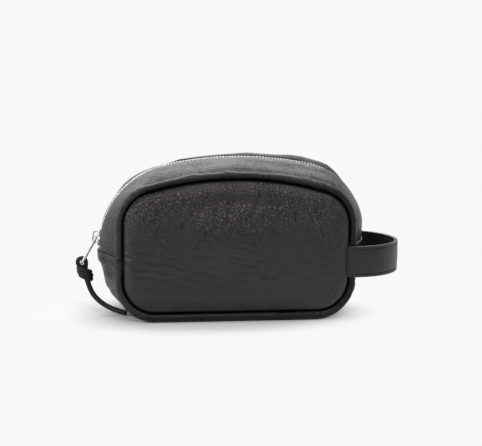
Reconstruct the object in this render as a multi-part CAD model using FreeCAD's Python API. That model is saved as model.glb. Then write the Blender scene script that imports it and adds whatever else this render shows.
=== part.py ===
import FreeCAD
import Part

import math
import os

from FreeCAD import Vector

# A small leather wash bag: two pillow-shaped panels joined by a gusset that is a zip above and a
# plain strip below, a knotted thong on the zip's pull and a strap loop at the right end.
# Millimetres, +Z up, the front faces -Y, the origin is the middle of the flat base.

# Front and rear panels, measured on their seam
panel_width = 180.0
panel_top = 113.5
panel_low_radius = 26.0
panel_high_radius = 28.0
panel_arch_rise = 9.0
panel_crown = 7.0
panel_crown_run = 24.0
crown_steps = 6
seam_depth = 84.0

# Gusset: a rolled edge along each seam, and the bulge between them, which slopes more at the left
roll_height = 5.0
roll_depth = 4.0
end_bulge = 18.0
top_bulge = 14.3
girth_low_radius = 40.0
girth_left_radius = 68.0
girth_right_radius = 54.0
girth_arch_rise = 5.0
girth_lean = 12.0
base_press = 0.3
side_straight = 1.0

# Leather, lining and the turned hems where the base strip laps over the zip's ends
leather = 1.3
lining = 0.5
layer_gap = 0.1
lining_gap = 0.15
lining_set_back = 0.5
seam_gap = 0.1
hem_thickness = 1.2
hem_width = 9.0
left_hem_drop = 76.3
right_hem_drop = 66.8

# Zip: tapes, teeth, stops
tape = 0.5
tape_width = 13.0
tape_tuck = 6.0
zip_slot = 11.0
tooth_pitch = 2.5
tooth_length = 1.05
tooth_thickness = 2.6
tooth_reach = 2.8
tooth_overlap = 0.6
tooth_jaw_depth = 1.4
tooth_jaw_gap = 1.0
tooth_bevel = 0.4
tooth_part = 1.4
parting_run = 2.0
stop_length = 2.0
stop_above_hem = 0.8

# Slider, its bridge and the pull ring
slider_length = 12.6
slider_plate = 1.1
slider_flange = 0.75
slider_play = 0.25
wedge_length = 3.6
wedge_width = 1.1
slider_above_hem = 10.5
bridge_width = 2.4
bridge_thickness = 1.2
bridge_span = 10.4
bridge_bevel = 1.6
bridge_clear = 3.35
ring_wire = 2.2
ring_length = 24.0
ring_width = 7.2
ring_corner = 2.2
ring_lean = 29.0

# Leather thong: loop through the ring, knot and free tail
thong_diameter = 4.2
thong_play = 0.25
thong_lean = 16.0
loop_leg = 3.0
knot_length = 12.0
knot_radius = 6.3
knot_turns = 3
knot_groove = 0.9
tail_start_run = 7.0
tail_bend_share = 0.45
tail_route = [
    Vector(-112.0, -1.4, 14.0),
    Vector(-106.2, -3.6, 8.6),
    Vector(-99.4, -6.8, 5.1),
    Vector(-92.6, -10.6, 3.1),
    Vector(-86.6, -14.0, 2.2),
]

# Carrying strap
strap_width = 25.0
strap_ply = 1.4
strap_straight = 3.6
strap_seam_gap = 0.4
strap_roll_gap = 0.3
strap_below_hem = 1.2
strap_hinge_radius = 20.0

half_depth = seam_depth / 2
roll_start = half_depth - roll_depth
far = 4 * (panel_width + panel_top)

# Places that follow from the girth: the hems and the axes of the zip's end arcs
girth_half = panel_width / 2 + end_bulge
girth_top = panel_top + top_bulge
left_hem = girth_top - left_hem_drop
right_hem = girth_top - right_hem_drop
arc_top = girth_top - girth_arch_rise
track_axis = Vector(girth_left_radius - girth_half, 0, arc_top - girth_left_radius)
right_axis = Vector(girth_half - girth_right_radius, 0, arc_top - girth_right_radius)

# Depth of each layer below the leather's outer face
tape_depth = leather + layer_gap
chain_depth = tape_depth + tape / 2
lining_depth = tape_depth + tape + lining_gap
track_radius = girth_left_radius - chain_depth
right_track_radius = girth_right_radius - chain_depth


def profile(half_width, base, low_radius, lean, left_radius, right_radius, rise, top):
    return {
        "half_width": half_width,
        "base": base,
        "low_radius": low_radius,
        "lean": lean,
        "left_radius": left_radius,
        "right_radius": right_radius,
        "rise": rise,
        "top": top,
    }


def grown(shape, by):
    bigger = dict(shape)
    bigger["half_width"] += by
    bigger["base"] -= by
    bigger["low_radius"] += by
    bigger["left_radius"] += by
    bigger["right_radius"] += by
    bigger["top"] += by
    return bigger


def mixed(first, second, share):
    return {key: first[key] + (second[key] - first[key]) * share for key in first}


seam_profile = profile(
    panel_width / 2,
    roll_height - base_press,
    panel_low_radius,
    0.0,
    panel_high_radius,
    panel_high_radius,
    panel_arch_rise,
    panel_top,
)
girth_profile = profile(
    girth_half,
    -base_press,
    girth_low_radius,
    girth_lean,
    girth_left_radius,
    girth_right_radius,
    girth_arch_rise,
    girth_top,
)


def arch_runs(shape):
    """Distances from the arch's highest point to the middles of the left and right corners."""
    span = 2 * shape["half_width"] - shape["left_radius"] - shape["right_radius"]
    offset = shape["rise"] * (shape["left_radius"] - shape["right_radius"]) / span
    return span / 2 - offset, span / 2 + offset


def side_points(shape, radius, run):
    """One side's points, as on the right: arch end, corner, side line, lower corner, base."""
    lean = math.radians(shape["lean"])
    rise = shape["rise"]
    corner_x = shape["half_width"] - radius
    corner_z = shape["top"] - radius - rise
    arch_angle = math.atan2((run**2 - rise**2) / (2 * rise), run)
    middle_angle = (arch_angle - lean) / 2

    def on_corner(angle):
        return (corner_x + radius * math.cos(angle), corner_z + radius * math.sin(angle))

    side_high = on_corner(-lean)
    side_run = (side_high[1] - shape["base"]) / math.cos(lean)
    half_turn = math.tan((math.pi / 2 - lean) / 2)
    low_radius = min(shape["low_radius"], (side_run - side_straight) / half_turn)
    tangent = low_radius * half_turn
    side_length = side_run - tangent
    side_low = (
        side_high[0] - math.sin(lean) * side_length,
        side_high[1] - math.cos(lean) * side_length,
    )
    base_x = side_high[0] - math.sin(lean) * side_run - tangent
    low_angle = -(math.pi / 2 + lean) / 2
    low_middle = (
        base_x + low_radius * math.cos(low_angle),
        shape["base"] + low_radius + low_radius * math.sin(low_angle),
    )
    return {
        "arch": on_corner(arch_angle),
        "corner": on_corner(middle_angle),
        "side_high": side_high,
        "side_low": side_low,
        "low": low_middle,
        "base": (base_x, shape["base"]),
    }


def outline_corners(shape, y):
    """Points of an outline's left and right sides, and its highest point."""
    left_run, right_run = arch_runs(shape)
    left = side_points(shape, shape["left_radius"], left_run)
    right = side_points(shape, shape["right_radius"], right_run)
    apex = Vector(shape["half_width"] - shape["right_radius"] - right_run, y, shape["top"])
    return (
        {name: Vector(-p[0], y, p[1]) for name, p in left.items()},
        {name: Vector(p[0], y, p[1]) for name, p in right.items()},
        apex,
    )


def outline(shape, y):
    """Closed wire of lines and arcs in the plane at depth y."""
    left, right, apex = outline_corners(shape, y)
    edges = [
        Part.LineSegment(left["base"], right["base"]),
        Part.Arc(right["base"], right["low"], right["side_low"]),
        Part.LineSegment(right["side_low"], right["side_high"]),
        Part.Arc(right["side_high"], right["corner"], right["arch"]),
        Part.Arc(right["arch"], apex, left["arch"]),
        Part.Arc(left["arch"], left["corner"], left["side_high"]),
        Part.LineSegment(left["side_high"], left["side_low"]),
        Part.Arc(left["side_low"], left["low"], left["base"]),
    ]
    return Part.Wire([edge.toShape() for edge in edges])


def gusset_profile(y):
    """Outline of the gusset's outer face at depth y: rolled edges, then one smooth bulge."""
    depth = abs(y)
    if depth >= roll_start:
        down_roll = min((depth - roll_start) / roll_depth, 1.0)
        return grown(seam_profile, roll_height * math.sqrt(1 - down_roll**2))
    share = 1 - (depth / roll_start) ** 2
    return mixed(grown(seam_profile, roll_height), girth_profile, share)


def lofted(stations, inset):
    wires = [outline(grown(gusset_profile(y), -inset), y) for y in stations]
    return Part.makeLoft(wires, True, False)


def gusset_body(inset):
    """Everything inside the gusset's outer face moved inwards by inset."""
    roll_angles = [90, 60, 30, 0]
    roll = [roll_start + roll_depth * math.sin(math.radians(a)) for a in roll_angles]
    middle = [-roll_start, -roll_start / 2, 0, roll_start / 2, roll_start]
    front = lofted([-y for y in roll], inset)
    rear = lofted(list(reversed(roll)), inset)
    return front.fuse([lofted(middle, inset), rear]).removeSplitter()


def gusset_shell(outer, inner):
    return gusset_body(outer).cut(gusset_body(inner))


def block(x_range, y_range, z_range):
    corner = Vector(x_range[0], y_range[0], z_range[0])
    return Part.makeBox(
        x_range[1] - x_range[0], y_range[1] - y_range[0], z_range[1] - z_range[0], corner
    )


def band(y_range, left_range, right_range):
    """Space between two heights, which differ at the left and right ends of the bag."""
    left = block((-far, 0), y_range, left_range)
    right = block((0, far), y_range, right_range)
    return left.fuse(right).removeSplitter()


def above_hems(y_range, lift):
    return band(y_range, (left_hem + lift, far), (right_hem + lift, far))


def below_hems(y_range, drop, floor):
    return band(y_range, (floor, left_hem - drop), (floor, right_hem - drop))


def mirrored(shape):
    return shape.mirror(Vector(0, 0, 0), Vector(0, 1, 0))


def only_solid(shape):
    """The single solid of a cut, with its seams cleaned."""
    cleaned = shape.removeSplitter()
    return max(cleaned.Solids, key=lambda solid: solid.Volume)


def dish_body(inset):
    """Everything behind the front panel's crowned face moved inwards by inset."""
    wires = []
    for step in range(crown_steps + 1):
        angle = math.pi / 2 * step / crown_steps
        narrowing = panel_crown_run * (1 - math.cos(angle))
        y = -half_depth - panel_crown * math.sin(angle) + inset
        wires.append(outline(grown(seam_profile, -inset - narrowing), y))
    return Part.makeLoft(wires, True, False)


def front_dish(outer, inner):
    in_front = block((-far, far), (-far, -half_depth), (-far, far))
    return only_solid(dish_body(outer).cut(dish_body(inner)).common(in_front))


def zip_strip(shell, inner_edge, lift):
    return only_solid(shell.common(above_hems((-half_depth, -inner_edge), lift)))


def base_strip(shell):
    on_table = block((-far, far), (-far, far), (0, far))
    hemmed = gusset_shell(-hem_thickness, leather)
    hem_y = (-roll_start, roll_start)
    hem_band = band(
        hem_y, (left_hem - hem_width, left_hem), (right_hem - hem_width, right_hem)
    )
    plain = shell.common(below_hems((-half_depth, half_depth), 0, -far)).common(on_table)
    return only_solid(plain.fuse(hemmed.common(hem_band)))


def zip_tape(shell):
    """One tape, cut back beside the slider where its teeth stand apart."""
    edge = tooth_jaw_depth + layer_gap
    whole = shell.common(
        band(
            (-tape_width, -edge),
            (left_hem - tape_tuck, far),
            (right_hem - tape_tuck, far),
        )
    )
    parted = block((-far, 0), (-edge - tooth_part, 0), (-far, slider_centre.z + tooth_length))
    return only_solid(whole.cut(parted))


# The zip's path in the middle of the bag
slider_height = left_hem + slider_above_hem
slider_angle = math.asin((slider_height - track_axis.z) / track_radius)


def at_track(angle, radius):
    """Point on the left end arc, where the angle is measured upwards from -X."""
    return track_axis + Vector(-radius * math.cos(angle), 0, radius * math.sin(angle))


slider_centre = at_track(slider_angle, track_radius)
slider_out = Vector(-math.cos(slider_angle), 0, math.sin(slider_angle))
slider_up = Vector(math.sin(slider_angle), 0, math.cos(slider_angle))
across = Vector(0, 1, 0)


def zip_track():
    """Wire from just above the left hem, over the top, to just above the right hem."""
    left, right, apex = outline_corners(grown(girth_profile, -chain_depth), 0)
    start_z = left_hem + stop_above_hem + stop_length
    end_z = right_hem + stop_above_hem + stop_length
    start_angle = math.asin((start_z - track_axis.z) / track_radius)
    end_angle = math.asin((end_z - right_axis.z) / right_track_radius)
    lean = math.radians(girth_lean)
    edges = []
    if start_angle < -lean:
        slope = (left["side_high"] - left["side_low"]).normalize()
        start = left["side_high"] - slope * ((left["side_high"].z - start_z) / slope.z)
        edges.append(Part.LineSegment(start, left["side_high"]))
        start_angle = -lean
    arch_angle = math.atan2(left["arch"].z - track_axis.z, track_axis.x - left["arch"].x)
    middle = at_track((start_angle + arch_angle) / 2, track_radius)
    edges.append(Part.Arc(at_track(start_angle, track_radius), middle, left["arch"]))
    edges.append(Part.Arc(left["arch"], apex, right["arch"]))
    right_angle = math.atan2(right["arch"].z - right_axis.z, right["arch"].x - right_axis.x)
    end_middle, end = [
        right_axis + Vector(right_track_radius * math.cos(a), 0, right_track_radius * math.sin(a))
        for a in ((end_angle + right_angle) / 2, end_angle)
    ]
    edges.append(Part.Arc(right["arch"], end_middle, end))
    return Part.Wire([edge.toShape() for edge in edges])


def clamp(place, along, out, side, part, length, section):
    """Solid of a given section (across, outwards), as long as it is wide along the zip."""
    start = place - along * (length / 2)
    points = [start + across * (side * (v - part)) + out * w for v, w in section]
    face = Part.Face(Part.makePolygon(points + points[:1]))
    return face.extrude(along * length)


def tooth_section():
    half = tooth_thickness / 2
    jaw = tooth_jaw_gap / 2
    return [
        (-tooth_reach, jaw),
        (-tooth_reach, half - tooth_bevel),
        (-tooth_reach + tooth_bevel, half),
        (tooth_overlap - tooth_bevel, half),
        (tooth_overlap, half - tooth_bevel),
        (tooth_overlap, -half + tooth_bevel),
        (tooth_overlap - tooth_bevel, -half),
        (-tooth_reach, -half),
        (-tooth_reach, -jaw),
        (-tooth_jaw_depth, -jaw),
        (-tooth_jaw_depth, jaw),
    ]


def tooth_parting(place):
    """How far a tooth stands from its closed place: the slider's wedge holds the last ones apart."""
    if place.x > 0:
        return 0.0
    below_centre = (slider_centre - place).dot(slider_up)
    return tooth_part * min(max(below_centre / parting_run, 0.0), 1.0)


def zip_teeth():
    """Front and rear rows of separate teeth, taken in turn along the track."""
    track = zip_track()
    count = int(track.Length / (tooth_pitch / 2))
    places = track.discretize(Number=count)
    rows = {1: [], -1: []}
    for index in range(1, count - 1):
        place = places[index]
        along = (places[index + 1] - places[index - 1]).normalize()
        out = along.cross(across)
        if out.dot(place - Vector(0, 0, track_axis.z)) < 0:
            out = -out
        side = 1 if index % 2 else -1
        parting = tooth_parting(place)
        rows[side].append(
            clamp(place, along, out, side, parting, tooth_length, tooth_section())
        )
    return Part.makeCompound(rows[1]), Part.makeCompound(rows[-1]), track


def outward(along):
    """Direction square to the zip, away from the bag's middle, at its lower ends."""
    out = along.cross(across)
    return out if out.x * along.z < 0 else -out


def top_stops(track):
    """Two clamps, one on each tape, just below the first tooth."""
    places = track.discretize(Distance=tooth_pitch)
    along = (places[1] - places[0]).normalize()
    place = places[0] - along * (stop_length / 2)
    section = tooth_section()
    pair = [
        clamp(place, along, outward(along), side, tooth_part, stop_length, section)
        for side in (1, -1)
    ]
    return Part.makeCompound(pair)


def bottom_stop(track):
    """One clamp across both tapes past the last tooth, slotted for each tape's edge."""
    places = track.discretize(Distance=tooth_pitch)
    along = (places[-1] - places[-2]).normalize()
    place = places[-1] + along * (stop_length / 2)
    half = tooth_thickness / 2
    jaw = tooth_jaw_gap / 2
    rear = [
        (tooth_reach, half),
        (tooth_reach, jaw),
        (tooth_jaw_depth, jaw),
        (tooth_jaw_depth, -jaw),
        (tooth_reach, -jaw),
        (tooth_reach, -half),
    ]
    front = [(-v, w) for v, w in reversed(rear)]
    return clamp(place, along, outward(along), 1, 0.0, stop_length, rear + front)


def ring_about_track(inner, outer, width):
    """Round wall about the track's axis, between two distances from the teeth's middle."""
    start = track_axis - across * (width / 2)
    big = Part.makeCylinder(track_radius + outer, width, start, across)
    small = Part.makeCylinder(track_radius + inner, width, start, across)
    return big.cut(small)


def slider_prism(plan):
    """Plan (along the zip, across) carried right through the slider's thickness."""
    start = slider_centre - slider_out * (slider_length / 2)
    points = [start + slider_up * u + across * v for u, v in plan]
    face = Part.Face(Part.makePolygon(points + points[:1]))
    return face.extrude(slider_out * slider_length)


def slider_plan(tail_half, shoulder_half, reach):
    half = slider_length / 2
    rear = [
        (half + reach, tail_half),
        (parting_run / 2, tail_half),
        (-parting_run / 2, shoulder_half),
        (-half - reach, shoulder_half),
    ]
    return rear + [(u, -v) for u, v in reversed(rear)]


chain_half = tooth_thickness / 2 + slider_play
flange_foot = tooth_jaw_gap / 2 + slider_play
tail_half = tooth_reach + slider_play
shoulder_half = tail_half + tooth_part
slider_width = 2 * (shoulder_half + slider_flange)
plate_top = chain_half + slider_plate


def zip_slider():
    """Two plates joined by a wedge, with flanges that hold the teeth between them."""
    channel = slider_plan(tail_half, shoulder_half, slider_length)
    whole = slider_prism(slider_plan(tail_half + slider_flange, shoulder_half + slider_flange, 0))
    rim = whole.cut(slider_prism(channel))
    wedge_low = -slider_length / 2 + slider_flange
    wedge_high = wedge_low + wedge_length
    half = wedge_width / 2
    point = half / 2
    wedge_plan = [(wedge_low, -half), (wedge_high, -point), (wedge_high, point), (wedge_low, half)]
    outer_plate = ring_about_track(chain_half, plate_top, slider_width).common(whole)
    inner_plate = ring_about_track(-plate_top, -chain_half, slider_width).common(whole)
    outer_rim = ring_about_track(flange_foot, chain_half, slider_width).common(rim)
    inner_rim = ring_about_track(-chain_half, -flange_foot, slider_width).common(rim)
    wedge = ring_about_track(-chain_half, chain_half, slider_width).common(slider_prism(wedge_plan))
    return only_solid(outer_plate.fuse([inner_plate, outer_rim, inner_rim, wedge]))


def zip_bridge():
    """Arch over the slider's outer plate, under which the pull ring turns."""
    half_span = bridge_span / 2
    top = plate_top + bridge_clear + bridge_thickness
    base = slider_centre - across * (bridge_width / 2)

    def arch(half_length, height):
        side = height - bridge_bevel
        flat = half_length - bridge_bevel
        plan = [(half_length, 0), (half_length, side), (flat, height)]
        plan += [(-u, w) for u, w in reversed(plan)]
        points = [base + slider_up * u + slider_out * w for u, w in plan]
        return Part.Face(Part.makePolygon(points + points[:1])).extrude(across * bridge_width)

    inside = arch(half_span - bridge_thickness, top - bridge_thickness)
    plate = ring_about_track(-track_radius / 2, plate_top, 2 * slider_width)
    return only_solid(arch(half_span, top).cut(inside).cut(plate))


ring_pivot = slider_centre + slider_out * (plate_top + slider_play + ring_wire / 2)
ring_down = Vector(
    -math.sin(math.radians(ring_lean)), 0, -math.cos(math.radians(ring_lean))
)
ring_end = ring_pivot + ring_down * ring_length


def rod(path_edges, start, direction, radius):
    path = Part.Wire(path_edges)
    circle = Part.Wire([Part.Circle(start, direction, radius).toShape()])
    return path.makePipeShell([circle], True, False)


def pull_ring():
    """Long ring of round wire: straight bars at both ends, legs along the sides."""
    half = ring_width / 2
    diagonal = ring_corner * (1 - math.sqrt(0.5))

    def spot(along, side):
        return ring_pivot + ring_down * along + across * side

    corners = [(0, 1), (0, -1), (ring_length, -1), (ring_length, 1)]
    legs = []
    for index, (along, side) in enumerate(corners):
        inward = 1 if along == 0 else -1
        by_bar = spot(along, side * (half - ring_corner))
        by_leg = spot(along + inward * ring_corner, side * half)
        middle = spot(along + inward * diagonal, side * (half - diagonal))
        legs.append((by_bar, middle, by_leg) if index % 2 else (by_leg, middle, by_bar))
    edges = []
    for index, (first, middle, last) in enumerate(legs):
        edges.append(Part.Arc(first, middle, last).toShape())
        edges.append(Part.LineSegment(last, legs[(index + 1) % 4][0]).toShape())
    start = legs[0][0]
    return rod(edges, start, ring_down, ring_wire / 2)


# The thong hangs from the lower bar of the ring
thong_down = Vector(math.sin(math.radians(thong_lean)), 0, -math.cos(math.radians(thong_lean)))
thong_side = Vector(-thong_down.z, 0, thong_down.x)
loop_radius = ring_wire / 2 + thong_play + thong_diameter / 2
knot_top = ring_end + thong_down * loop_leg
knot_bottom = knot_top + thong_down * knot_length


def thong_loop():
    """The thong goes up one side of the ring's bar, over it and down the other side."""
    left_top = ring_end - thong_side * loop_radius
    right_top = ring_end + thong_side * loop_radius
    left_foot = left_top + thong_down * loop_leg
    right_foot = right_top + thong_down * loop_leg
    edges = [
        Part.LineSegment(left_foot, left_top).toShape(),
        Part.Arc(left_top, ring_end - thong_down * loop_radius, right_top).toShape(),
        Part.LineSegment(right_top, right_foot).toShape(),
    ]
    return rod(edges, left_foot, -thong_down, thong_diameter / 2)


def thong_knot():
    """Barrel of wrapped turns, flat where the loop and the tail enter it."""
    turn = knot_length / knot_turns
    neck = knot_radius - knot_groove

    def spot(along, out):
        return knot_top + thong_down * along + thong_side * out

    edges = [Part.LineSegment(spot(0, 0), spot(0, neck)).toShape()]
    for index in range(knot_turns):
        first = spot(index * turn, neck)
        last = spot((index + 1) * turn, neck)
        crest = spot((index + 0.5) * turn, knot_radius)
        edges.append(Part.Arc(first, crest, last).toShape())
    edges.append(Part.LineSegment(spot(knot_length, neck), spot(knot_length, 0)).toShape())
    edges.append(Part.LineSegment(spot(knot_length, 0), spot(0, 0)).toShape())
    face = Part.Face(Part.Wire(edges))
    return face.revolve(knot_top, thong_down, 360)


def thong_tail():
    """Free end of the thong: straight runs joined by arcs as large as the runs allow."""
    points = [knot_bottom, knot_bottom + thong_down * tail_start_run] + tail_route
    edges = []
    radii = []
    last = points[0]
    for before, corner, after in zip(points, points[1:], points[2:]):
        back = (before - corner).normalize()
        ahead = (after - corner).normalize()
        shorter = min((before - corner).Length, (after - corner).Length)
        trim = tail_bend_share * shorter
        half_turn = (math.pi - back.getAngle(ahead)) / 2
        radius = trim / math.tan(half_turn)
        bisector = (back + ahead).normalize()
        sagitta = radius / math.cos(half_turn) - radius
        edges.append(Part.LineSegment(last, corner + back * trim).toShape())
        edges.append(
            Part.Arc(corner + back * trim, corner + bisector * sagitta, corner + ahead * trim).toShape()
        )
        radii.append(round(radius, 1))
        last = corner + ahead * trim
    edges.append(Part.LineSegment(last, points[-1]).toShape())
    tube = rod(edges, points[0], (points[1] - points[0]).normalize(), thong_diameter / 2)
    length = sum(edge.Length for edge in edges)
    section = math.pi * thong_diameter**2 / 4
    print("tail radii", radii, "length", round(length, 2))
    print("tail volume", round(tube.Volume, 2), "section x length", round(section * length, 2))
    return tube


# The strap's ends enter the front and rear seams at the right end of the bag
strap_root = panel_width / 2 + strap_seam_gap
strap_inner = half_depth + strap_roll_gap
strap_turn_x = strap_root + strap_straight
strap_top = right_hem - strap_below_hem
strap_low = strap_top - strap_width
strap_hinge = Vector(strap_root + strap_hinge_radius, 0, (strap_top + strap_low) / 2)


def strap_solid(radius):
    start = Vector(strap_turn_x, 0, strap_low)
    turn = Part.makeCylinder(radius, strap_width, start, Vector(0, 0, 1))
    legs = block((strap_root, strap_turn_x), (-radius, radius), (strap_low, strap_top))
    right_of_turn = block((strap_turn_x, far), (-far, far), (-far, far))
    return legs.fuse(turn.common(right_of_turn)).removeSplitter()


def strap_layer(inner, outer):
    """One ply of the strap loop, its ends rounded about the line on which the loop tilts."""
    round_end = Part.makeCylinder(
        strap_hinge_radius, 2 * far, strap_hinge - across * far, across
    )
    beyond = block((strap_hinge.x, far), (-far, far), (-far, far))
    layer = strap_solid(outer).cut(strap_solid(inner))
    return only_solid(layer.common(round_end.fuse(beyond)))


def make_bag():
    leather_shell = gusset_shell(0, leather)
    tape_shell = gusset_shell(tape_depth, tape_depth + tape)
    lining_shell = gusset_shell(lining_depth, lining_depth + lining)
    slot_edge = zip_slot / 2
    lining_edge = slot_edge + lining_set_back
    front_teeth, rear_teeth, track = zip_teeth()
    panel = front_dish(0, leather)
    panel_lining = front_dish(leather + lining_gap, leather + lining_gap + lining)
    strip = zip_strip(leather_shell, slot_edge, seam_gap)
    strip_lining = zip_strip(lining_shell, lining_edge, seam_gap)
    front_tape = zip_tape(tape_shell)
    inside_seams = (-half_depth, half_depth)
    lower_lining = only_solid(lining_shell.common(below_hems(inside_seams, 0, -far)))
    return {
        "front_panel": panel,
        "rear_panel": mirrored(panel),
        "front_zip_gusset": strip,
        "rear_zip_gusset": mirrored(strip),
        "base_gusset": base_strip(leather_shell),
        "front_lining": panel_lining,
        "rear_lining": mirrored(panel_lining),
        "front_zip_lining": strip_lining,
        "rear_zip_lining": mirrored(strip_lining),
        "base_lining": lower_lining,
        "front_zip_tape": front_tape,
        "rear_zip_tape": mirrored(front_tape),
        "front_zip_teeth": front_teeth,
        "rear_zip_teeth": rear_teeth,
        "zip_top_stops": top_stops(track),
        "zip_bottom_stop": bottom_stop(track),
    }


def make_pull():
    return {
        "zip_slider": zip_slider(),
        "slider_bridge": zip_bridge(),
        "pull_ring": pull_ring(),
        "thong_loop": thong_loop(),
        "thong_knot": thong_knot(),
        "thong_tail": thong_tail(),
    }


def make_handle():
    middle = strap_inner + strap_ply
    return {
        "strap_lining": strap_layer(strap_inner, middle),
        "strap_face": strap_layer(middle, middle + strap_ply),
    }


os.makedirs("parts", exist_ok=True)
pieces = {**make_bag(), **make_pull(), **make_handle()}
for name, shape in pieces.items():
    shape.exportStep(f"parts/{name}.step")
    print(name, len(shape.Solids), round(shape.Volume, 1), shape.isValid())
print("zip hinge", track_axis, "ring pivot", ring_pivot, "ring end", ring_end)
print("strap hinge", strap_hinge, "hems", left_hem, right_hem)
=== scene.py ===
import math

import bmesh
import bpy
import numpy as np
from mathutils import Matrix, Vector, noise


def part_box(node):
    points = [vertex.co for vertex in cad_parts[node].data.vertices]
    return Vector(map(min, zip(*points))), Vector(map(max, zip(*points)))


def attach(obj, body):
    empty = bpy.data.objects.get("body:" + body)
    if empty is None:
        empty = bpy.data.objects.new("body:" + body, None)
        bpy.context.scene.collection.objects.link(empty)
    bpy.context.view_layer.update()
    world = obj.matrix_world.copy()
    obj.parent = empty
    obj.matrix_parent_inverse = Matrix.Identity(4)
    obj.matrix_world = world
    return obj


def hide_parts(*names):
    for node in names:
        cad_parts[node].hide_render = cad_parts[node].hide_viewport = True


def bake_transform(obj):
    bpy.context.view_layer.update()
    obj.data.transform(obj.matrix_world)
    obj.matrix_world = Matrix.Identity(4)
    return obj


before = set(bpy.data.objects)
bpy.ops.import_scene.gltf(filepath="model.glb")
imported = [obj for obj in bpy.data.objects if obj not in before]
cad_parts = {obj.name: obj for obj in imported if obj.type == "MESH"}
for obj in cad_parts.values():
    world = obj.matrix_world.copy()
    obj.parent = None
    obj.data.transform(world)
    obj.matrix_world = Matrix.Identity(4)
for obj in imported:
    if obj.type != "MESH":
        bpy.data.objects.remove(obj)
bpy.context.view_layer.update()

scene = bpy.context.scene
scene.view_settings.view_transform = "Standard"
mm = 0.001  # sizes in the dictionaries are millimetres
weld = 0.002  # points nearer than this become one
print("frame loaded")


def newObject(name, data):
    made = bpy.data.objects.new(name, data)
    scene.collection.objects.link(made)
    return made


def nodeBox(name):
    low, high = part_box(name)
    return np.array(low) / mm, np.array(high) / mm


def turnTo(holder, target):
    holder.rotation_euler = (target - holder.location).to_track_quat("-Z", "Y").to_euler()


def unit(vector):
    vector = np.asarray(vector, float)
    return vector / np.linalg.norm(vector, axis=-1, keepdims=True)


def ease(value, low, high):
    share = np.clip((value - low) / (high - low), 0, 1)
    return share * share * (3 - 2 * share)


def bell(value, middle, run):
    return np.exp(-(((value - middle) / run) ** 2))


# camera
shot = {
    "centre": (0, 0, 57), "distance": 900, "azimuth": -7.2, "elevation": 9.4,
    "lens": 81.7, "sensor": 36, "clip": 20, "right": 8.0, "up": 15.7, "roll": 0.7,
}


def addCamera(s):
    turn, lift = math.radians(s["azimuth"]), math.radians(s["elevation"])
    away = Vector((math.sin(turn) * math.cos(lift), -math.cos(turn) * math.cos(lift), math.sin(lift)))
    right = Vector((math.cos(turn), math.sin(turn), 0))
    up = right.cross(-away)
    centre = Vector(s["centre"])
    camera = bpy.data.cameras.new("camera")
    camera.lens = s["lens"]
    camera.sensor_width = s["sensor"]
    camera.clip_end = s["clip"]
    holder = newObject("camera", camera)
    holder.location = (centre + away * s["distance"]) * mm
    turnTo(holder, (centre + right * s["right"] + up * s["up"]) * mm)
    holder.rotation_euler.rotate_axis("Z", math.radians(s["roll"]))
    scene.camera = holder


addCamera(shot)
print("camera set")


# node maths for finishes and for geometry trees
def operatorPair(operation):
    def forward(self, other):
        return self.kit.maths(operation, self, other)

    def reflected(self, other):
        return self.kit.maths(operation, other, self)

    return forward, reflected


class Wire:
    def __init__(self, kit, socket):
        self.kit, self.socket = kit, socket

    __add__, __radd__ = operatorPair("ADD")
    __sub__, __rsub__ = operatorPair("SUBTRACT")
    __mul__, __rmul__ = operatorPair("MULTIPLY")
    __truediv__, __rtruediv__ = operatorPair("DIVIDE")


class NodeKit:
    def __init__(self, tree):
        self.tree = tree

    def node(self, kind, settings=None, sockets=None, output=0):
        made = self.tree.nodes.new(kind)
        for key, value in (settings or {}).items():
            setattr(made, key, value)
        for key, value in (sockets or {}).items():
            if isinstance(value, Wire):
                self.tree.links.new(value.socket, made.inputs[key])
            else:
                made.inputs[key].default_value = value
        return Wire(self, made.outputs[output]) if len(made.outputs) else None

    def maths(self, operation, *values):
        return self.node("ShaderNodeMath", {"operation": operation}, dict(enumerate(values)))

    def vector(self, operation, *values, output=0):
        return self.node("ShaderNodeVectorMath", {"operation": operation}, dict(enumerate(values)), output)

    def axis(self, vector, name):
        return self.node("ShaderNodeSeparateXYZ", {}, {0: vector}, name)

    def mapped(self, place, scale, turn=0.0, shift=(0, 0, 0)):
        sockets = {"Vector": place, "Location": shift, "Rotation": (0, turn, 0), "Scale": scale}
        return self.node("ShaderNodeMapping", {}, sockets)

    def noise(self, place, scale, detail, more=None, output=0):
        sockets = {"Vector": place, "Scale": scale, "Detail": detail} | (more or {})
        return self.node("ShaderNodeTexNoise", {}, sockets, output)

    def wave(self, place, direction, scale, distortion, more=None):
        sockets = {"Vector": place, "Scale": scale, "Distortion": distortion} | (more or {})
        return self.node("ShaderNodeTexWave", {"bands_direction": direction}, sockets, 1)

    def cells(self, place, feature, size):
        sockets = {"Vector": place, "Scale": 1 / (size * mm)}
        return self.node("ShaderNodeTexVoronoi", {"feature": feature}, sockets, "Distance")

    def spread(self, value, low, high, toLow=0.0, toHigh=1.0):
        sockets = {"Value": value, "From Min": low, "From Max": high, "To Min": toLow, "To Max": toHigh}
        return self.node("ShaderNodeMapRange", {"interpolation_type": "SMOOTHSTEP"}, sockets)

    def blend(self, share, first, second):
        # the node's colours are its inputs 6 and 7 and its output 2
        return self.node("ShaderNodeMix", {"data_type": "RGBA"}, {"Factor": share, 6: first, 7: second}, 2)

    def bump(self, strength, depth, height):
        sockets = {"Strength": strength, "Distance": depth * mm, "Height": height}
        return self.node("ShaderNodeBump", {}, sockets)

    def glossy(self, sockets):
        return self.node("ShaderNodeBsdfPrincipled", {}, sockets)

    def mixed(self, share, first, second):
        return self.node("ShaderNodeMixShader", {}, {0: share, 1: first, 2: second})

    def close(self, shader):
        self.node("ShaderNodeOutputMaterial", {}, {"Surface": shader})


def grey(value, tint=(1, 1, 1)):
    return (value * tint[0], value * tint[1], value * tint[2], 1)


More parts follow.
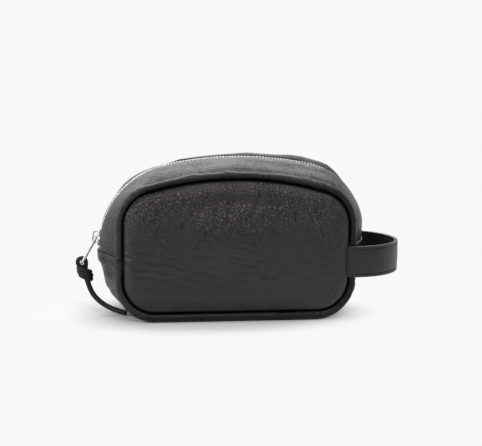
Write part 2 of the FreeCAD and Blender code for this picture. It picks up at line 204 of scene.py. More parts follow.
def newFinish(name):
    material = bpy.data.materials.new(name)
    material.use_nodes = True
    material.node_tree.nodes.clear()
    kit = NodeKit(material.node_tree)
    return material, kit, kit.node("ShaderNodeTexCoord", output="Object")


# leather: pebbles with cracks between them; painted shade in the seams, the cracks, the wrinkle lines and the
# fold valleys
grain = {
    "round": 0.32, "drift": 0.45, "dark": 0.004, "patch": 26.0, "patchRough": 0.55,
    "firm": (0.34, 0.62, 0.45, 1.0), "ripple": 230.0, "rippleRough": 0.6, "fineRise": 0.2,
    "crest": 0.65, "paintedShade": 0.003, "paintedShadeRough": 0.8,
}
leatherLook = {
    "panelLeather": {
        "cell": 2.6, "stretch": 0.78, "crack": 0.13, "fine": 0.8, "warp": 1.0, "light": 0.012,
        "tint": (1.0, 0.91, 0.98), "rough": 0.33, "roughSpread": 0.16, "depth": 0.42, "strength": 1.0,
        "specular": 0.5, "matt": 0.55, "ripple": 0.9, "fade": (46, 94),
    },
    "gussetLeather": {
        "cell": 2.0, "stretch": 0.9, "crack": 0.13, "fine": 0.7, "warp": 0.9, "light": 0.012,
        "tint": (1.0, 0.89, 1.0), "rough": 0.27, "roughSpread": 0.2, "depth": 0.24, "strength": 0.9,
        "specular": 0.5, "matt": 0.4, "ripple": 0.8,
    },
    "strapLeather": {
        "cell": 1.2, "stretch": 0.9, "crack": 0.1, "fine": 0.5, "warp": 0.6, "light": 0.011,
        "tint": (1.0, 0.91, 1.0), "rough": 0.3, "roughSpread": 0.16, "depth": 0.10, "strength": 0.6,
        "specular": 0.5, "matt": 0.3, "ripple": 0.5,
    },
    "thongLeather": {
        "cell": 0.7, "stretch": 1.0, "crack": 0.1, "fine": 0.35, "warp": 0.5, "light": 0.010,
        "tint": (1.0, 0.96, 1.0), "rough": 0.5, "roughSpread": 0.12, "depth": 0.08, "strength": 0.5,
        "specular": 0.3, "matt": 0.3, "ripple": 0.5,
    },
}
wrinkle = {
    "grainLow": 0.05, "lineStretch": (1.6, 1, 0.45), "lineTurn": 0.16, "lineScale": 105.0, "lineWarp": 0.5,
    "lineWidth": 0.035, "lineShare": 0.7, "lineDepth": 0.5, "lineShade": 0.35,
    "foldStretch": (0.35, 1, 1), "foldTurn": -0.45, "foldScale": 66.0, "foldWarp": 7.0,
    "foldDetail": {"Detail": 3.0, "Detail Scale": 1.3, "Detail Roughness": 0.62},
    "foldPatch": (0.38, 0.6), "foldUp": (18, 40), "foldAcross": (-20, 70), "foldRight": 0.35,
    "foldRise": 0.7, "valley": 0.45, "valleyShade": 0.2,
}


def wrinkles(kit, w, place, bent, patch, upper):
    # upright lines high up, level folds and their valleys low down; the lines and the valleys also carry
    # painted shade
    x, z = (kit.axis(place, name) for name in "XZ")
    drawn = kit.mapped(bent, w["lineStretch"], w["lineTurn"])
    line = kit.noise(drawn, w["lineScale"], 3.0, {"Distortion": w["lineWarp"]})
    line = kit.maths("ABSOLUTE", line - 0.5)
    line = kit.spread(line, 0.0, w["lineWidth"], 1.0, 0.0) * upper * w["lineShare"]
    drawn = kit.mapped(bent, w["foldStretch"], w["foldTurn"])
    fold = kit.wave(drawn, "Z", w["foldScale"], w["foldWarp"], w["foldDetail"])
    (low, high), (left, right) = w["foldUp"], w["foldAcross"]
    where = (1 - upper) * kit.spread(patch, *w["foldPatch"]) * kit.spread(z, low * mm, high * mm)
    where = where * kit.spread(x, left * mm, right * mm, 1.0, w["foldRight"])
    return line, fold * where, kit.spread(fold, 0.0, w["valley"], 1.0, 0.0) * where


def leatherFinish(name):
    look, w = leatherLook[name], wrinkle
    material, kit, place = newFinish(name)
    cell = look["cell"] * mm
    drift = kit.noise(place, grain["drift"] / cell, 2.0, output="Color")
    drift = kit.vector("SUBTRACT", drift, (0.5, 0.5, 0.5))
    drift = kit.vector("MULTIPLY", drift, (look["warp"] * cell,) * 3)
    bent = kit.mapped(kit.vector("ADD", place, drift), (1, 1, look["stretch"]))
    edge = kit.cells(bent, "DISTANCE_TO_EDGE", look["cell"])
    pebble = kit.spread(edge, 0.0, grain["round"])
    crack = kit.spread(edge, 0.0, look["crack"], 1.0, 0.0)
    fine = kit.cells(bent, "F1", look["fine"])
    patch = kit.noise(place, grain["patch"], 3.0, {"Roughness": grain["patchRough"]})
    firm = kit.spread(patch, *grain["firm"])  # pulled smooth in places, full grain in others
    ripple = kit.noise(bent, grain["ripple"], 4.0, {"Roughness": grain["rippleRough"]})
    line, fold, valley = 0.0, 0.0, 0.0
    if "fade" in look:  # the grain fades towards the bottom
        upper = kit.spread(kit.axis(place, "Z"), look["fade"][0] * mm, look["fade"][1] * mm)
        firm = firm * (w["grainLow"] + (1 - w["grainLow"]) * upper)
        line, fold, valley = wrinkles(kit, w, place, bent, patch, upper)
    height = pebble * firm + (1 - fine) * grain["fineRise"] + ripple * look["ripple"]
    height = height - line * w["lineDepth"] + fold * w["foldRise"]
    # the colour is darker between the pebbles, as painted shade, and also varies with the random patches
    crest = pebble * grain["crest"] + patch * (1 - grain["crest"])
    polished = kit.glossy({
        "Base Color": kit.blend(crest, grey(grain["dark"], look["tint"]), grey(look["light"], look["tint"])),
        "Roughness": look["rough"] + look["roughSpread"] * (1 - crest),
        "Normal": kit.bump(look["strength"], look["depth"], height),
        "Specular IOR Level": look["specular"], "Specular Tint": grey(1.0, look["tint"]),
    })
    # painted shade: a dark matt shader mixed in along the seams, in the cracks between pebbles, in the
    # wrinkle lines and in the fold valleys
    paintedShade = kit.glossy({
        "Base Color": grey(grain["paintedShade"]), "Roughness": grain["paintedShadeRough"], "Specular IOR Level": 0.0,
    })
    seam = kit.node("ShaderNodeAttribute", {"attribute_name": "seam"}, output="Fac")
    lines = crack * firm * look["matt"] + line * w["lineShade"] + valley * w["valleyShade"]
    kit.close(kit.mixed(seam + (1 - seam) * lines, polished, paintedShade))
    return material


metalLook = {
    "zipMetal": {"colour": (0.52, 0.51, 0.50, 1), "worn": 0.28, "rough": 0.2, "scuff": 0.16},
    "toothMetal": {"colour": (0.62, 0.61, 0.59, 1), "worn": 0.42, "rough": 0.26, "scuff": 0.2},
}
metalWear = {"cloud": 420.0, "rub": (0.42, 0.7), "hair": 2600.0, "strength": 0.12, "depth": 0.02}


def metalFinish(name):
    look, w = metalLook[name], metalWear
    material, kit, place = newFinish(name)
    rub = kit.spread(kit.noise(place, w["cloud"], 4.0), *w["rub"])
    hair = kit.noise(place, w["hair"], 2.0)
    kit.close(kit.glossy({
        "Base Color": kit.blend(rub, look["colour"], grey(look["worn"])), "Metallic": 1.0,
        "Roughness": look["rough"] + look["scuff"] * rub, "Normal": kit.bump(w["strength"], w["depth"], hair),
    }))
    return material


clothLook = {
    "zipTape": {"thread": 0.55, "dark": 0.008, "light": 0.026, "rough": 0.75},
    "liningCloth": {"thread": 0.4, "dark": 0.03, "light": 0.075, "rough": 0.85},
}
weaving = {
    "over": 0.5, "along": 0.36, "warp": 0.4, "slub": 300.0, "slubRise": 0.35, "strength": 0.6, "depth": 0.15,
}


def clothFinish(name):
    look, w = clothLook[name], weaving
    material, kit, place = newFinish(name)
    wale = 1 / (math.pi * look["thread"] * mm)
    over = kit.wave(place, "Y", wale * w["over"], w["warp"])
    along = kit.wave(place, "DIAGONAL", wale * w["along"], w["warp"])
    weave = over * along + kit.noise(place, w["slub"], 3.0) * w["slubRise"]
    kit.close(kit.glossy({
        "Base Color": kit.blend(weave, grey(look["dark"]), grey(look["light"])),
        "Roughness": look["rough"], "Normal": kit.bump(w["strength"], w["depth"], weave),
    }))
    return material


threadLook = {
    "dark": 0.001, "light": 0.004, "rough": 0.85, "specular": 0.2, "ply": 0.35, "twist": 0.3, "warp": 0.5,
    "fuzz": 900.0, "fuzzShare": 0.4, "strength": 0.5, "depth": 0.06,
}


def threadFinish(name, look):
    material, kit, place = newFinish(name)
    ply = kit.wave(place, "DIAGONAL", look["twist"] / (look["ply"] * mm), look["warp"])
    fuzz = kit.noise(place, look["fuzz"], 2.0) * look["fuzzShare"]
    tone = ply * (1 - look["fuzzShare"]) + fuzz
    kit.close(kit.glossy({
        "Base Color": kit.blend(tone, grey(look["dark"]), grey(look["light"])),
        "Roughness": look["rough"], "Normal": kit.bump(look["strength"], look["depth"], ply + fuzz),
        "Specular IOR Level": look["specular"],
    }))
    return material


paintLook = {
    "dark": 0.010, "light": 0.017, "rough": 0.34, "roughSpread": 0.2, "ripple": 520.0, "strength": 0.35,
    "depth": 0.08,
}


def paintFinish(name, look):
    material, kit, place = newFinish(name)
    ripple = kit.noise(place, look["ripple"], 3.0)
    kit.close(kit.glossy({
        "Base Color": kit.blend(ripple, grey(look["dark"]), grey(look["light"])),
        "Roughness": look["rough"] + look["roughSpread"] * ripple,
        "Normal": kit.bump(look["strength"], look["depth"], ripple),
    }))
    return material


panelLeather, gussetLeather, strapLeather, thongLeather = map(leatherFinish, leatherLook)
zipMetal, toothMetal = map(metalFinish, metalLook)
zipTape, liningCloth = map(clothFinish, clothLook)
sewingThread = threadFinish("sewingThread", threadLook)
edgePaint = paintFinish("edgePaint", paintLook)
print("finishes made")


# mesh helpers, in millimetres
def lofted(rings, closed=False):
    # skin over rings of points, with both ends capped unless it closes on itself
    rings = np.asarray(rings, float)
    stations, count = rings.shape[:2]
    faces = []
    for i in range(stations if closed else stations - 1):
        a, b = i * count, (i + 1) % stations * count
        faces += [(a + k, a + (k + 1) % count, b + (k + 1) % count, b + k) for k in range(count)]
    if not closed:
        faces.append(tuple(reversed(range(count))))
        faces.append(tuple(range((stations - 1) * count, stations * count)))
    return rings.reshape(-1, 3), faces


def joined(parts):
    points, faces, first = [], [], 0
    for some, sides in parts:
        points.append(some)
        faces += [tuple(first + k for k in face) for face in sides]
        first += len(some)
    return np.concatenate(points), faces


def swept(path, normals, width, section):
    # section is (outwards, along width) at each point of the path
    out, along = section[:, 0], np.outer(section[:, 1], width)
    return lofted([p + np.outer(out, n) + along for p, n in zip(path, normals)])


def roundedBox(across, along, radius, steps):
    points = []
    for cx, cy, start in ((1, 1, 0), (-1, 1, 90), (-1, -1, 180), (1, -1, 270)):
        for k in range(steps + 1):
            angle = math.radians(start + 90 * k / steps)
            points.append((
                cx * (across / 2 - radius) + radius * math.cos(angle),
                cy * (along / 2 - radius) + radius * math.sin(angle),
            ))
    return np.array(points)


def cleaned(mesh):
    work = bmesh.new()
    work.from_mesh(mesh)
    bmesh.ops.remove_doubles(work, verts=work.verts, dist=weld * mm)
    bmesh.ops.recalc_face_normals(work, faces=work.faces)
    for face in work.faces:
        face.smooth = True
    work.to_mesh(mesh)
    work.free()
    return mesh


def addMesh(name, shape, *finishes, seam=None):
    points, faces = shape
    mesh = bpy.data.meshes.new(name)
    mesh.from_pydata((points * mm).tolist(), [], faces)
    for finish in finishes:
        mesh.materials.append(finish)
    if seam is not None:
        mesh.attributes.new("seam", "FLOAT", "POINT").data.foreach_set("value", np.asarray(seam, np.float32))
    return newObject(name, cleaned(mesh))


def builtMesh(thing):
    # mesh of what a curve or the modifiers make
    view = bpy.context.evaluated_depsgraph_get()
    mesh = bpy.data.meshes.new_from_object(thing.evaluated_get(view), depsgraph=view)
    mesh.name = thing.name
    return mesh


def bake(piece):
    mesh = builtMesh(piece)
    piece.modifiers.clear()
    piece.data = mesh
    return piece


def keepEdges(piece, degrees):
    # shading breaks only at edges sharper than this
    work = bmesh.new()
    work.from_mesh(piece.data)
    for edge in work.edges:
        edge.smooth = len(edge.link_faces) == 2 and edge.calc_face_angle(0) < math.radians(degrees)
    work.to_mesh(piece.data)
    work.free()
    return piece


def settle(piece, body, slot, *nodes):
    if nodes:
        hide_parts(*nodes)
    if body:
        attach(piece, body)
    return piece


# the thong on the zip pull
def hanging(lean):
    return np.array([math.sin(math.radians(lean)), 0, -math.cos(math.radians(lean))])


ring = {
    "wire": 2.2, "length": 24, "width": 7.2, "corner": 2.2, "lean": -29, "pivot": (-109.9346, 0, 62.4341),
    "soft": 0.42, "swell": 0.5, "swellFrom": (2, 8), "swellTo": (15, 21), "cornerSteps": 8, "wireSteps": 4,
}
thong = {
    "diameter": 4.2, "lean": 16, "leg": 3, "knotLength": 12, "wrapRadius": 4.1, "slant": 2.3, "turns": 2.6,
    "coilSteps": 10, "coilStart": 2.2, "coilEnd": 2.2, "coilNarrow": 0.86, "coilSwell": 0.18,
    "core": [(-0.8, 0.6, 0), (5, -0.3, 0.3), (12, 0, 0)], "loopDiameter": 3.5, "loopPlay": 0.1,
    "loopSunk": 2.5, "loopFoot": 0.5, "loopLow": (0.6, 1.02), "loopOver": [(0.35, 1.16), (1.18, 0.62)],
    "startRun": 7, "tailLength": 45.7, "tail": [
        (-112.0, -1.4, 14.0), (-106.2, -3.6, 8.6), (-99.4, -6.8, 5.1),
        (-92.6, -10.6, 3.1), (-86.6, -14.0, 2.2),
    ],
}
acrossBag = np.array([0.0, 1.0, 0.0])
ringPivot, ringDown = np.array(ring["pivot"]), hanging(ring["lean"])
ringEnd = ringPivot + ringDown * ring["length"]
thongDown = hanging(thong["lean"])
thongSide = np.array([-thongDown[2], 0, thongDown[0]])
knotFoot = ringEnd + thongDown * thong["leg"] + thongDown * thong["knotLength"]


def cordCurve(name, lines, diameter):
    curve = bpy.data.curves.new(name, "CURVE")
    curve.dimensions = "3D"
    curve.bevel_depth = diameter / 2 * mm
    curve.bevel_resolution = 5
    curve.resolution_u = 10
    curve.use_fill_caps = True
    for line in lines:
        spline = curve.splines.new("NURBS")
        spline.points.add(len(line) - 1)
        for point, place in zip(spline.points, line):
            point.co = (*(np.asarray(place) * mm), 1)
        spline.order_u = 3
        spline.use_endpoint_u = True
    curve.materials.append(thongLeather)
    return newObject(name, curve)


def cordMesh(name, lines, diameter):
    curve = cordCurve(name, lines, diameter)
    mesh = builtMesh(curve)
    bpy.data.objects.remove(curve)
    return newObject(name, cleaned(mesh))


def thongSpot(down, side, out):
    return ringEnd + thongDown * down + thongSide * side + acrossBag * out


def loopLine(t):
    # (down, share of the reach to the side) from one leg round the ring to the other
    reach = ring["wire"] / 2 + t["loopPlay"] + t["loopDiameter"] / 2
    half = [(t["leg"] + t["loopSunk"], t["loopFoot"]), (t["leg"] * t["loopLow"][0], t["loopLow"][1])]
    half += [(-reach * over, side) for over, side in t["loopOver"]]
    line = [thongSpot(down, -reach * side, 0) for down, side in half]
    return line + [thongSpot(down, reach * side, 0) for down, side in half[::-1]]


def coilLine(t):
    steps = t["turns"] * t["coilSteps"]
    line = []
    for k in range(int(steps) + 1):
        angle = 2 * math.pi * k / t["coilSteps"] + t["coilStart"]
        down = t["leg"] + t["coilEnd"] + (t["knotLength"] - 2 * t["coilEnd"]) * k / steps
        sway = t["slant"] * math.cos(angle)  # the turns lie aslant
        swell = t["wrapRadius"] * (t["coilNarrow"] + t["coilSwell"] * math.sin(math.pi * k / steps))
        line.append(thongSpot(down + sway, swell * math.cos(angle), swell * math.sin(angle)))
    return line


def makeThong(t):
    loop = cordMesh("thongLoop", [loopLine(t)], t["loopDiameter"])
    core = [thongSpot(t["leg"] + down, side, out) for down, side, out in t["core"]]
    knot = cordMesh("thongKnot", [coilLine(t), core], t["diameter"])
    route = [knotFoot, knotFoot + thongDown * t["startRun"]] + [np.array(p) for p in t["tail"]]
    tail = cordCurve("thongTail", [route], t["diameter"])
    for piece, node in ((loop, "thong_loop"), (knot, "thong_knot"), (tail, "thong_tail")):
        settle(piece, "thong", "thong_leather", node)


makeThong(thong)
print("thong knotted")


# outlines of the bag, square to its depth
panelLow, panelHigh = nodeBox("front_panel")
seamLift = 2.5  # how much higher the seams lie along the base than the panel's solid
bag = {
    "halfWidth": panelHigh[0], "base": panelLow[2] + seamLift, "top": panelHigh[2],
    "halfDepth": -panelHigh[1], "lowRadius": 26, "highRadius": 28, "arch": 9, "footShare": 1.27,
    "rollHeight": 5, "rollDepth": 4, "endBulge": 18, "topBulge": 14.3,
    "girthLow": 40, "girthLeft": 68, "girthRight": 54, "girthArch": 5, "girthLean": 12, "press": 0.3,
    "leftHem": 51.5, "rightHem": 61, "leather": 1.3,
}
# half width, base, low radius, lean of the sides, left and right radius, rise of the arch, top
seamShape = np.array([
    bag["halfWidth"], bag["base"], bag["lowRadius"], 0,
    bag["highRadius"], bag["highRadius"], bag["arch"], bag["top"],
])
girthShape = np.array([
    bag["halfWidth"] + bag["endBulge"], -bag["press"], bag["girthLow"], bag["girthLean"],
    bag["girthLeft"], bag["girthRight"], bag["girthArch"], bag["top"] + bag["topBulge"],
])


def grown(shape, by):
    return shape + np.array([1, -bag["footShare"], 1, 0, 1, 1, 0, 1]) * by


def gussetShape(y):
    start = bag["halfDepth"] - bag["rollDepth"]
    depth = abs(y)
    if depth >= start:
        down = min((depth - start) / bag["rollDepth"], 1)
        return grown(seamShape, bag["rollHeight"] * math.sqrt(1 - down * down))
    share = 1 - (depth / start) ** 2
    return grown(seamShape, bag["rollHeight"]) * (1 - share) + girthShape * share


def arcPoints(centre, radius, first, last, step):
    count = max(int(abs(last - first) * radius / step), 2)
    angles = np.linspace(first, last, count + 1)
    return np.stack([centre[0] + radius * np.cos(angles), centre[1] + radius * np.sin(angles)], 1)


def sideLine(shape, radius, run, step):
    # from the bottom's middle up one side, as on the right, to the top of the arch
    halfWidth, base, lowRadius, lean, _, _, rise, top = shape
    lean = math.radians(lean)
    cornerX, cornerZ = halfWidth - radius, top - radius - rise
    arch = (run**2 + rise**2) / (2 * rise) + radius
    archAngle = math.atan2(cornerZ - top + arch, run)
    sideHigh = np.array([cornerX + radius * math.cos(lean), cornerZ - radius * math.sin(lean)])
    sideRun = (sideHigh[1] - base) / math.cos(lean)
    halfTurn = math.tan((math.pi / 2 - lean) / 2)
    low = min(lowRadius, (sideRun - 1) / halfTurn)
    baseX = sideHigh[0] - math.sin(lean) * sideRun - low * halfTurn
    flat = np.linspace(0, baseX, max(int(baseX / step), 2))
    sideLow = np.array([baseX + low * math.cos(lean), base + low - low * math.sin(lean)])
    up = np.linspace(0, 1, max(int(np.linalg.norm(sideHigh - sideLow) / step), 2))[:, None]
    line = np.concatenate([
        np.stack([flat, np.full(len(flat), base)], 1),
        arcPoints((baseX, base + low), low, -math.pi / 2, -lean, step),
        sideLow + (sideHigh - sideLow) * up,
        arcPoints((cornerX, cornerZ), radius, -lean, archAngle, step),
        arcPoints((cornerX - run, top - arch), arch, archAngle, math.pi / 2, step),
    ])
    keep = np.concatenate([[True], np.linalg.norm(np.diff(line, axis=0), axis=1) > 1e-6])
    return line[keep]


def outlineLine(shape, step=0.5):
    # from the bottom's middle up the right side, over the top and down the left side
    halfWidth, _, _, _, leftRadius, rightRadius, rise, _ = shape
    span = 2 * halfWidth - leftRadius - rightRadius
    offset = rise * (leftRadius - rightRadius) / span
    right = sideLine(shape, rightRadius, span / 2 + offset, step)
    left = sideLine(shape, leftRadius, span / 2 - offset, step)
    return np.concatenate([right, left[::-1][1:] * [-1, 1]])


def lengthsOf(line):
    return np.concatenate([[0], np.cumsum(np.linalg.norm(np.diff(line, axis=0), axis=1))])


def resampled(line, shares):
    run = lengthsOf(line)
    return np.stack([np.interp(shares * run[-1], run, line[:, k]) for k in range(line.shape[1])], 1)


def cutLine(line, leftZ, rightZ, upper):
    # part of an outline above or below its two cuts, from the left end to the right end
    z = line[:, 1]
    high = int(np.argmax(z))
    rightIndex = np.interp(rightZ, z[: high + 1], np.arange(high + 1))
    leftIndex = high + np.interp(-leftZ, -z[high:], np.arange(len(z) - high))

    def at(index):
        below = int(index)
        after = min(below + 1, len(line) - 1)
        return line[below] + (line[after] - line[below]) * (index - below)

    rightFirst, leftFirst = int(rightIndex) + 1, int(leftIndex)
    if upper:
        return np.concatenate([[at(rightIndex)], line[rightFirst : leftFirst + 1], [at(leftIndex)]])[::-1]
    down = np.concatenate([[at(leftIndex)], line[leftFirst + 1 :]])
    up = np.concatenate([line[1:rightFirst], [at(rightIndex)]])
    return np.concatenate([down, up])


# rolled edge along both seams, with painted shade in the groove and on its front face, less of it at the left
# end
rolled = {
    "radius": 2.9, "middle": 2.7, "back": 39.6, "turns": 11, "first": -82, "last": 78,
    "tuckBack": 0.6, "tuckDown": 1.4, "matt": (-75, -30), "shade": 0.45, "shadeEnd": (15, 58),
    "leftRun": (-84, -66), "leftShare": 0.15, "leftGroove": 0.4, "leftThin": 2.2,
    "valley": 0.25, "valleyAt": 35.6, "valleyRun": 2.0, "stripFrom": 37.6,
}
rollCount = rolled["turns"] + 1
rollAngles = np.linspace(rolled["first"], rolled["last"], rolled["turns"])


def rollStations(side, r):
    # (depth, height over the seam) round the rolled edge, from the groove outwards
    spots = [(side * (r["back"] - r["tuckBack"]), -r["tuckDown"])]
    for angle in np.radians(rollAngles):
        depth = r["back"] + r["radius"] * math.cos(angle)
        spots.append((side * depth, r["middle"] + r["radius"] * math.sin(angle)))
    return spots


def rollShade(r, x):
    # how much painted shade each station of the rolled edge takes, less at the left end
    groove, face = 1 - ease(rollAngles, *r["matt"]), r["shade"] * (1 - ease(rollAngles, *r["shadeEnd"]))
    share = r["leftShare"] + (1 - r["leftShare"]) * ease(x, *r["leftRun"])
    matt = np.append(1.0, groove) ** (1 / share.clip(r["leftGroove"]))
    return np.maximum(matt, np.append(0.0, face) * share)


def valley(y):
    # shallow hollow behind the rolled edge
    return -rolled["valley"] * bell(np.abs(y), rolled["valleyAt"], rolled["valleyRun"])


def gridNormals(grid):
    return unit(np.cross(np.gradient(grid, axis=0), np.gradient(grid, axis=1)) + 1e-12)


seedStep = (17.3, 5.1, 9.7)  # how far each seed shifts the noise


def noiseAt(points, sizes, seed):
    shift = Vector([seed * step for step in seedStep])
    flat = (points * (1 / np.array(sizes))).reshape(-1, 3)
    return np.array([noise.noise(Vector(p) + shift) for p in flat]).reshape(points.shape[:-1])


def folded(points, sizes, seed, sharp, low):
    # ridges along winding lines, 1 along their middle
    return (1 - np.abs(noiseAt(points, sizes, seed)) * sharp).clip(low, 1)


gather = {"slowPitch": 33.0, "slowAt": (0, 0.3), "fastAt": (4.2, 0.7), "even": 0.65, "uneven": 0.7}


def puckers(run, seed, s):
    # gathers along a seam, uneven in pitch and height
    def rowOf(pitch, shift, depth):
        row = [noise.noise(Vector((k / pitch, seed + shift, depth))) for k in run.ravel()]
        return np.array(row).reshape(run.shape)

    slow = rowOf(gather["slowPitch"], *gather["slowAt"])
    fast = rowOf(s["puckerPitch"], *gather["fastAt"])
    return fast * (gather["even"] + gather["uneven"] * slow) * s["pucker"]


def shellBorder(n, m):
    # rows and columns of a grid's border, once round
    border = [(i, 0) for i in range(n)] + [(n - 1, j) for j in range(1, m)]
    border += [(i, m - 1) for i in range(n - 2, -1, -1)] + [(0, j) for j in range(m - 2, 0, -1)]
    return np.array(border).T


def shellValues(values, rounding):
    i, j = shellBorder(*values.shape)
    return np.concatenate([values.ravel(), values.ravel(), np.tile(values[i, j], rounding)])


def shellOf(outer, inner, rounding):
    # closed shell between two grids, with rounded edges
    n, m = outer.shape[:2]
    index = np.arange(n * m).reshape(n, m)
    face = np.stack([index[:-1, :-1], index[1:, :-1], index[1:, 1:], index[:-1, 1:]], -1).reshape(-1, 4)
    i, j = shellBorder(n, m)
    outside, inside = outer[i, j], inner[i, j]
    half = (outside - inside) / 2
    away = outside - outer[i.clip(1, n - 2), j.clip(1, m - 2)]
    away -= half * (np.sum(away * half, 1) / np.maximum(np.sum(half * half, 1), 1e-9))[:, None]
    away = unit(away + 1e-9) * np.linalg.norm(half, axis=1)[:, None]
    points, rows = [outer.reshape(-1, 3), inner.reshape(-1, 3)], [index[i, j]]
    for k in range(rounding):
        angle = math.pi * (k + 1) / (rounding + 1)
        points.append((outside + inside) / 2 + half * math.cos(angle) + away * math.sin(angle))
        rows.append((2 * n * m + k * len(i)) + np.arange(len(i)))
    rows.append(index[i, j] + n * m)
    faces = [face, face[:, ::-1] + n * m]
    for low, high in zip(rows, rows[1:]):
        faces.append(np.stack([np.roll(low, -1), low, high, np.roll(high, -1)], -1))
    return np.concatenate(points), np.concatenate(faces).tolist()


# leather with its lining, which follows the inner side clear of the seams
lining = {
    "panel": (1.45, 1.95), "panelEdge": 4, "panelStep": 3,
    "strip": (2.1, 2.6), "stripEnd": 3, "stripStep": 4, "stripEdge": rollCount + 2, "stripAcross": 2,
}


def addLeather(name, outer, inner, finish, seam, node, rounding=3):
    piece = addMesh(name, shellOf(outer, inner, rounding), finish, seam=shellValues(seam, rounding))
    settle(piece, "bag", "body_leather", node)


def addLining(name, outer, inner, rows, columns, depths, node):
    picked = np.ix_(rows, columns)
    near, far = ((outer + (inner - outer) * depth / bag["leather"])[picked] for depth in depths)
    settle(addMesh(name, shellOf(near, far, 1), liningCloth), "bag", "lining_cloth", node)


def bothSides(outer, side):
    # the leather's two sides, turned to the rear where side is 1
    inner = outer - gridNormals(outer) * bag["leather"]
    return outer * [1, -side, 1], inner * [1, -side, 1]


# front and rear panels
panel = {
    "along": 230, "up": 150, "crowd": 0.45, "edgeRise": 6.8, "edgeRun": 14, "domeRise": 3.6, "domeRun": 52,
    "groove": 2.3, "inset": 0.5, "step": 0.4, "cornerShare": 0.29, "seamRun": (0.2, 2.4), "turnIn": 0.7,
    "turnBack": 1.2, "calm": (2, 20), "sharp": 3.2, "dent": 2.6, "dentSize": (52, 1, 40),
    "crease": 0.12, "creaseSize": (34, 1, 10), "creaseLow": -0.3, "creaseUp": (35, 80), "creaseFade": 0.65,
    "drape": 0.8, "drapeSize": (11, 1, 48), "drapePower": 1.5, "drapeSlant": 0.35, "drapeFrom": 60,
    "drapeUp": (58, 96), "pucker": 0.75, "puckerPitch": 6.5, "puckerReach": 6.0, "puckerFrom": 1.6,
    "bulges": [
        ((-22, 73), (40, 13), 1.8), ((4, 97), (52, 8), -0.9), ((52, 60), (26, 24), 0.8),
        ((-62, 84), (14, 16), -0.8), ((-28, 104), (32, 5), 1.0),
    ],
}


def crowded(count, share):
    even = np.linspace(0, 1, count)
    return even * (1 - share) + (0.5 - 0.5 * np.cos(math.pi * even)) * share


def panelPlan(p):
    # flat grid within the seam, each point's distance to the seam and its place along the seam
    line = outlineLine(grown(seamShape, -p["inset"]), p["step"])
    run = lengthsOf(line)

    def nearest(x, z):
        return int(np.argmin((line[:, 0] - x) ** 2 + (line[:, 1] - z) ** 2))

    lowShift, highShift = bag["lowRadius"] * p["cornerShare"], bag["highRadius"] * p["cornerShare"]
    lowRight = nearest(bag["halfWidth"] - lowShift, bag["base"] + lowShift)
    highRight = nearest(bag["halfWidth"] - highShift, bag["top"] - bag["arch"] - highShift)
    last = len(line) - 1
    highLeft, lowLeft = last - highRight, last - lowRight
    us, vs = crowded(p["along"], p["crowd"]), crowded(p["up"], p["crowd"])
    bottom = resampled(np.concatenate([line[lowLeft:last], line[: lowRight + 1]]), us)
    top = resampled(line[highRight : highLeft + 1][::-1], us)
    right = resampled(line[lowRight : highRight + 1], vs)
    left = resampled(line[highLeft : lowLeft + 1][::-1], vs)
    u, v = us[:, None, None], vs[None, :, None]
    flat = (1 - v) * bottom[:, None] + v * top[:, None] + (1 - u) * left[None] + u * right[None]
    flat -= (1 - u) * (1 - v) * bottom[0] + u * (1 - v) * bottom[-1] + (1 - u) * v * top[0] + u * v * top[-1]
    away, along = np.zeros(flat.shape[:2]), np.zeros(flat.shape[:2])
    for i in range(1, len(flat) - 1):
        gap = np.linalg.norm(flat[i][:, None] - line[None], axis=2)
        near = gap.argmin(1)
        away[i], along[i] = gap[np.arange(len(near)), near], run[near]
    away[:, [0, -1]] = 0
    return flat, away, along


def panelHeight(p, flat, away, along, seed):
    def dome(reach):
        share = np.clip(away / reach, 0, 1)
        return np.sqrt(np.maximum(1 - (1 - share) ** 2, 0))

    x, z = flat[..., 0], flat[..., 1]
    spots = np.stack([x, 0 * x, z], -1)
    dents = noiseAt(spots, p["dentSize"], seed) * p["dent"]
    for (middleX, middleZ), (wide, tall), rise in p["bulges"]:
        dents += rise * bell(x, middleX, wide) * bell(z, middleZ, tall)
    folds = folded(spots, p["creaseSize"], seed + 3, p["sharp"], p["creaseLow"]) * p["crease"]
    folds = folds * (1 - p["creaseFade"] * ease(z, *p["creaseUp"]))
    aslant = spots - np.stack([p["drapeSlant"] * (z - p["drapeFrom"]), 0 * z, 0 * z], -1)
    drape = folded(aslant, p["drapeSize"], seed + 5, p["sharp"], 0) ** p["drapePower"]
    drape = drape * p["drape"] * ease(z, *p["drapeUp"])
    gathers = puckers(along, seed + 1, p) * np.exp(-away / p["puckerReach"]) * ease(away, 0, p["puckerFrom"])
    height = p["edgeRise"] * dome(p["edgeRun"]) + p["domeRise"] * dome(p["domeRun"])
    return height + (dents - folds - drape) * ease(away, *p["calm"]) + gathers


def turnedIn(p, grid):
    # one more ring of points, where the edge turns in at the seam
    wide = np.pad(grid, ((1, 1), (1, 1), (0, 0)), mode="edge")
    centre = np.array([0, 0, (bag["base"] + bag["top"]) / 2])
    rim = np.ones(wide.shape[:2], bool)
    rim[1:-1, 1:-1] = False
    inwards = unit((centre - wide) * [1, 0, 1])
    wide[rim] += (inwards * p["turnIn"])[rim]
    wide[rim, 1] += p["turnBack"]
    return wide


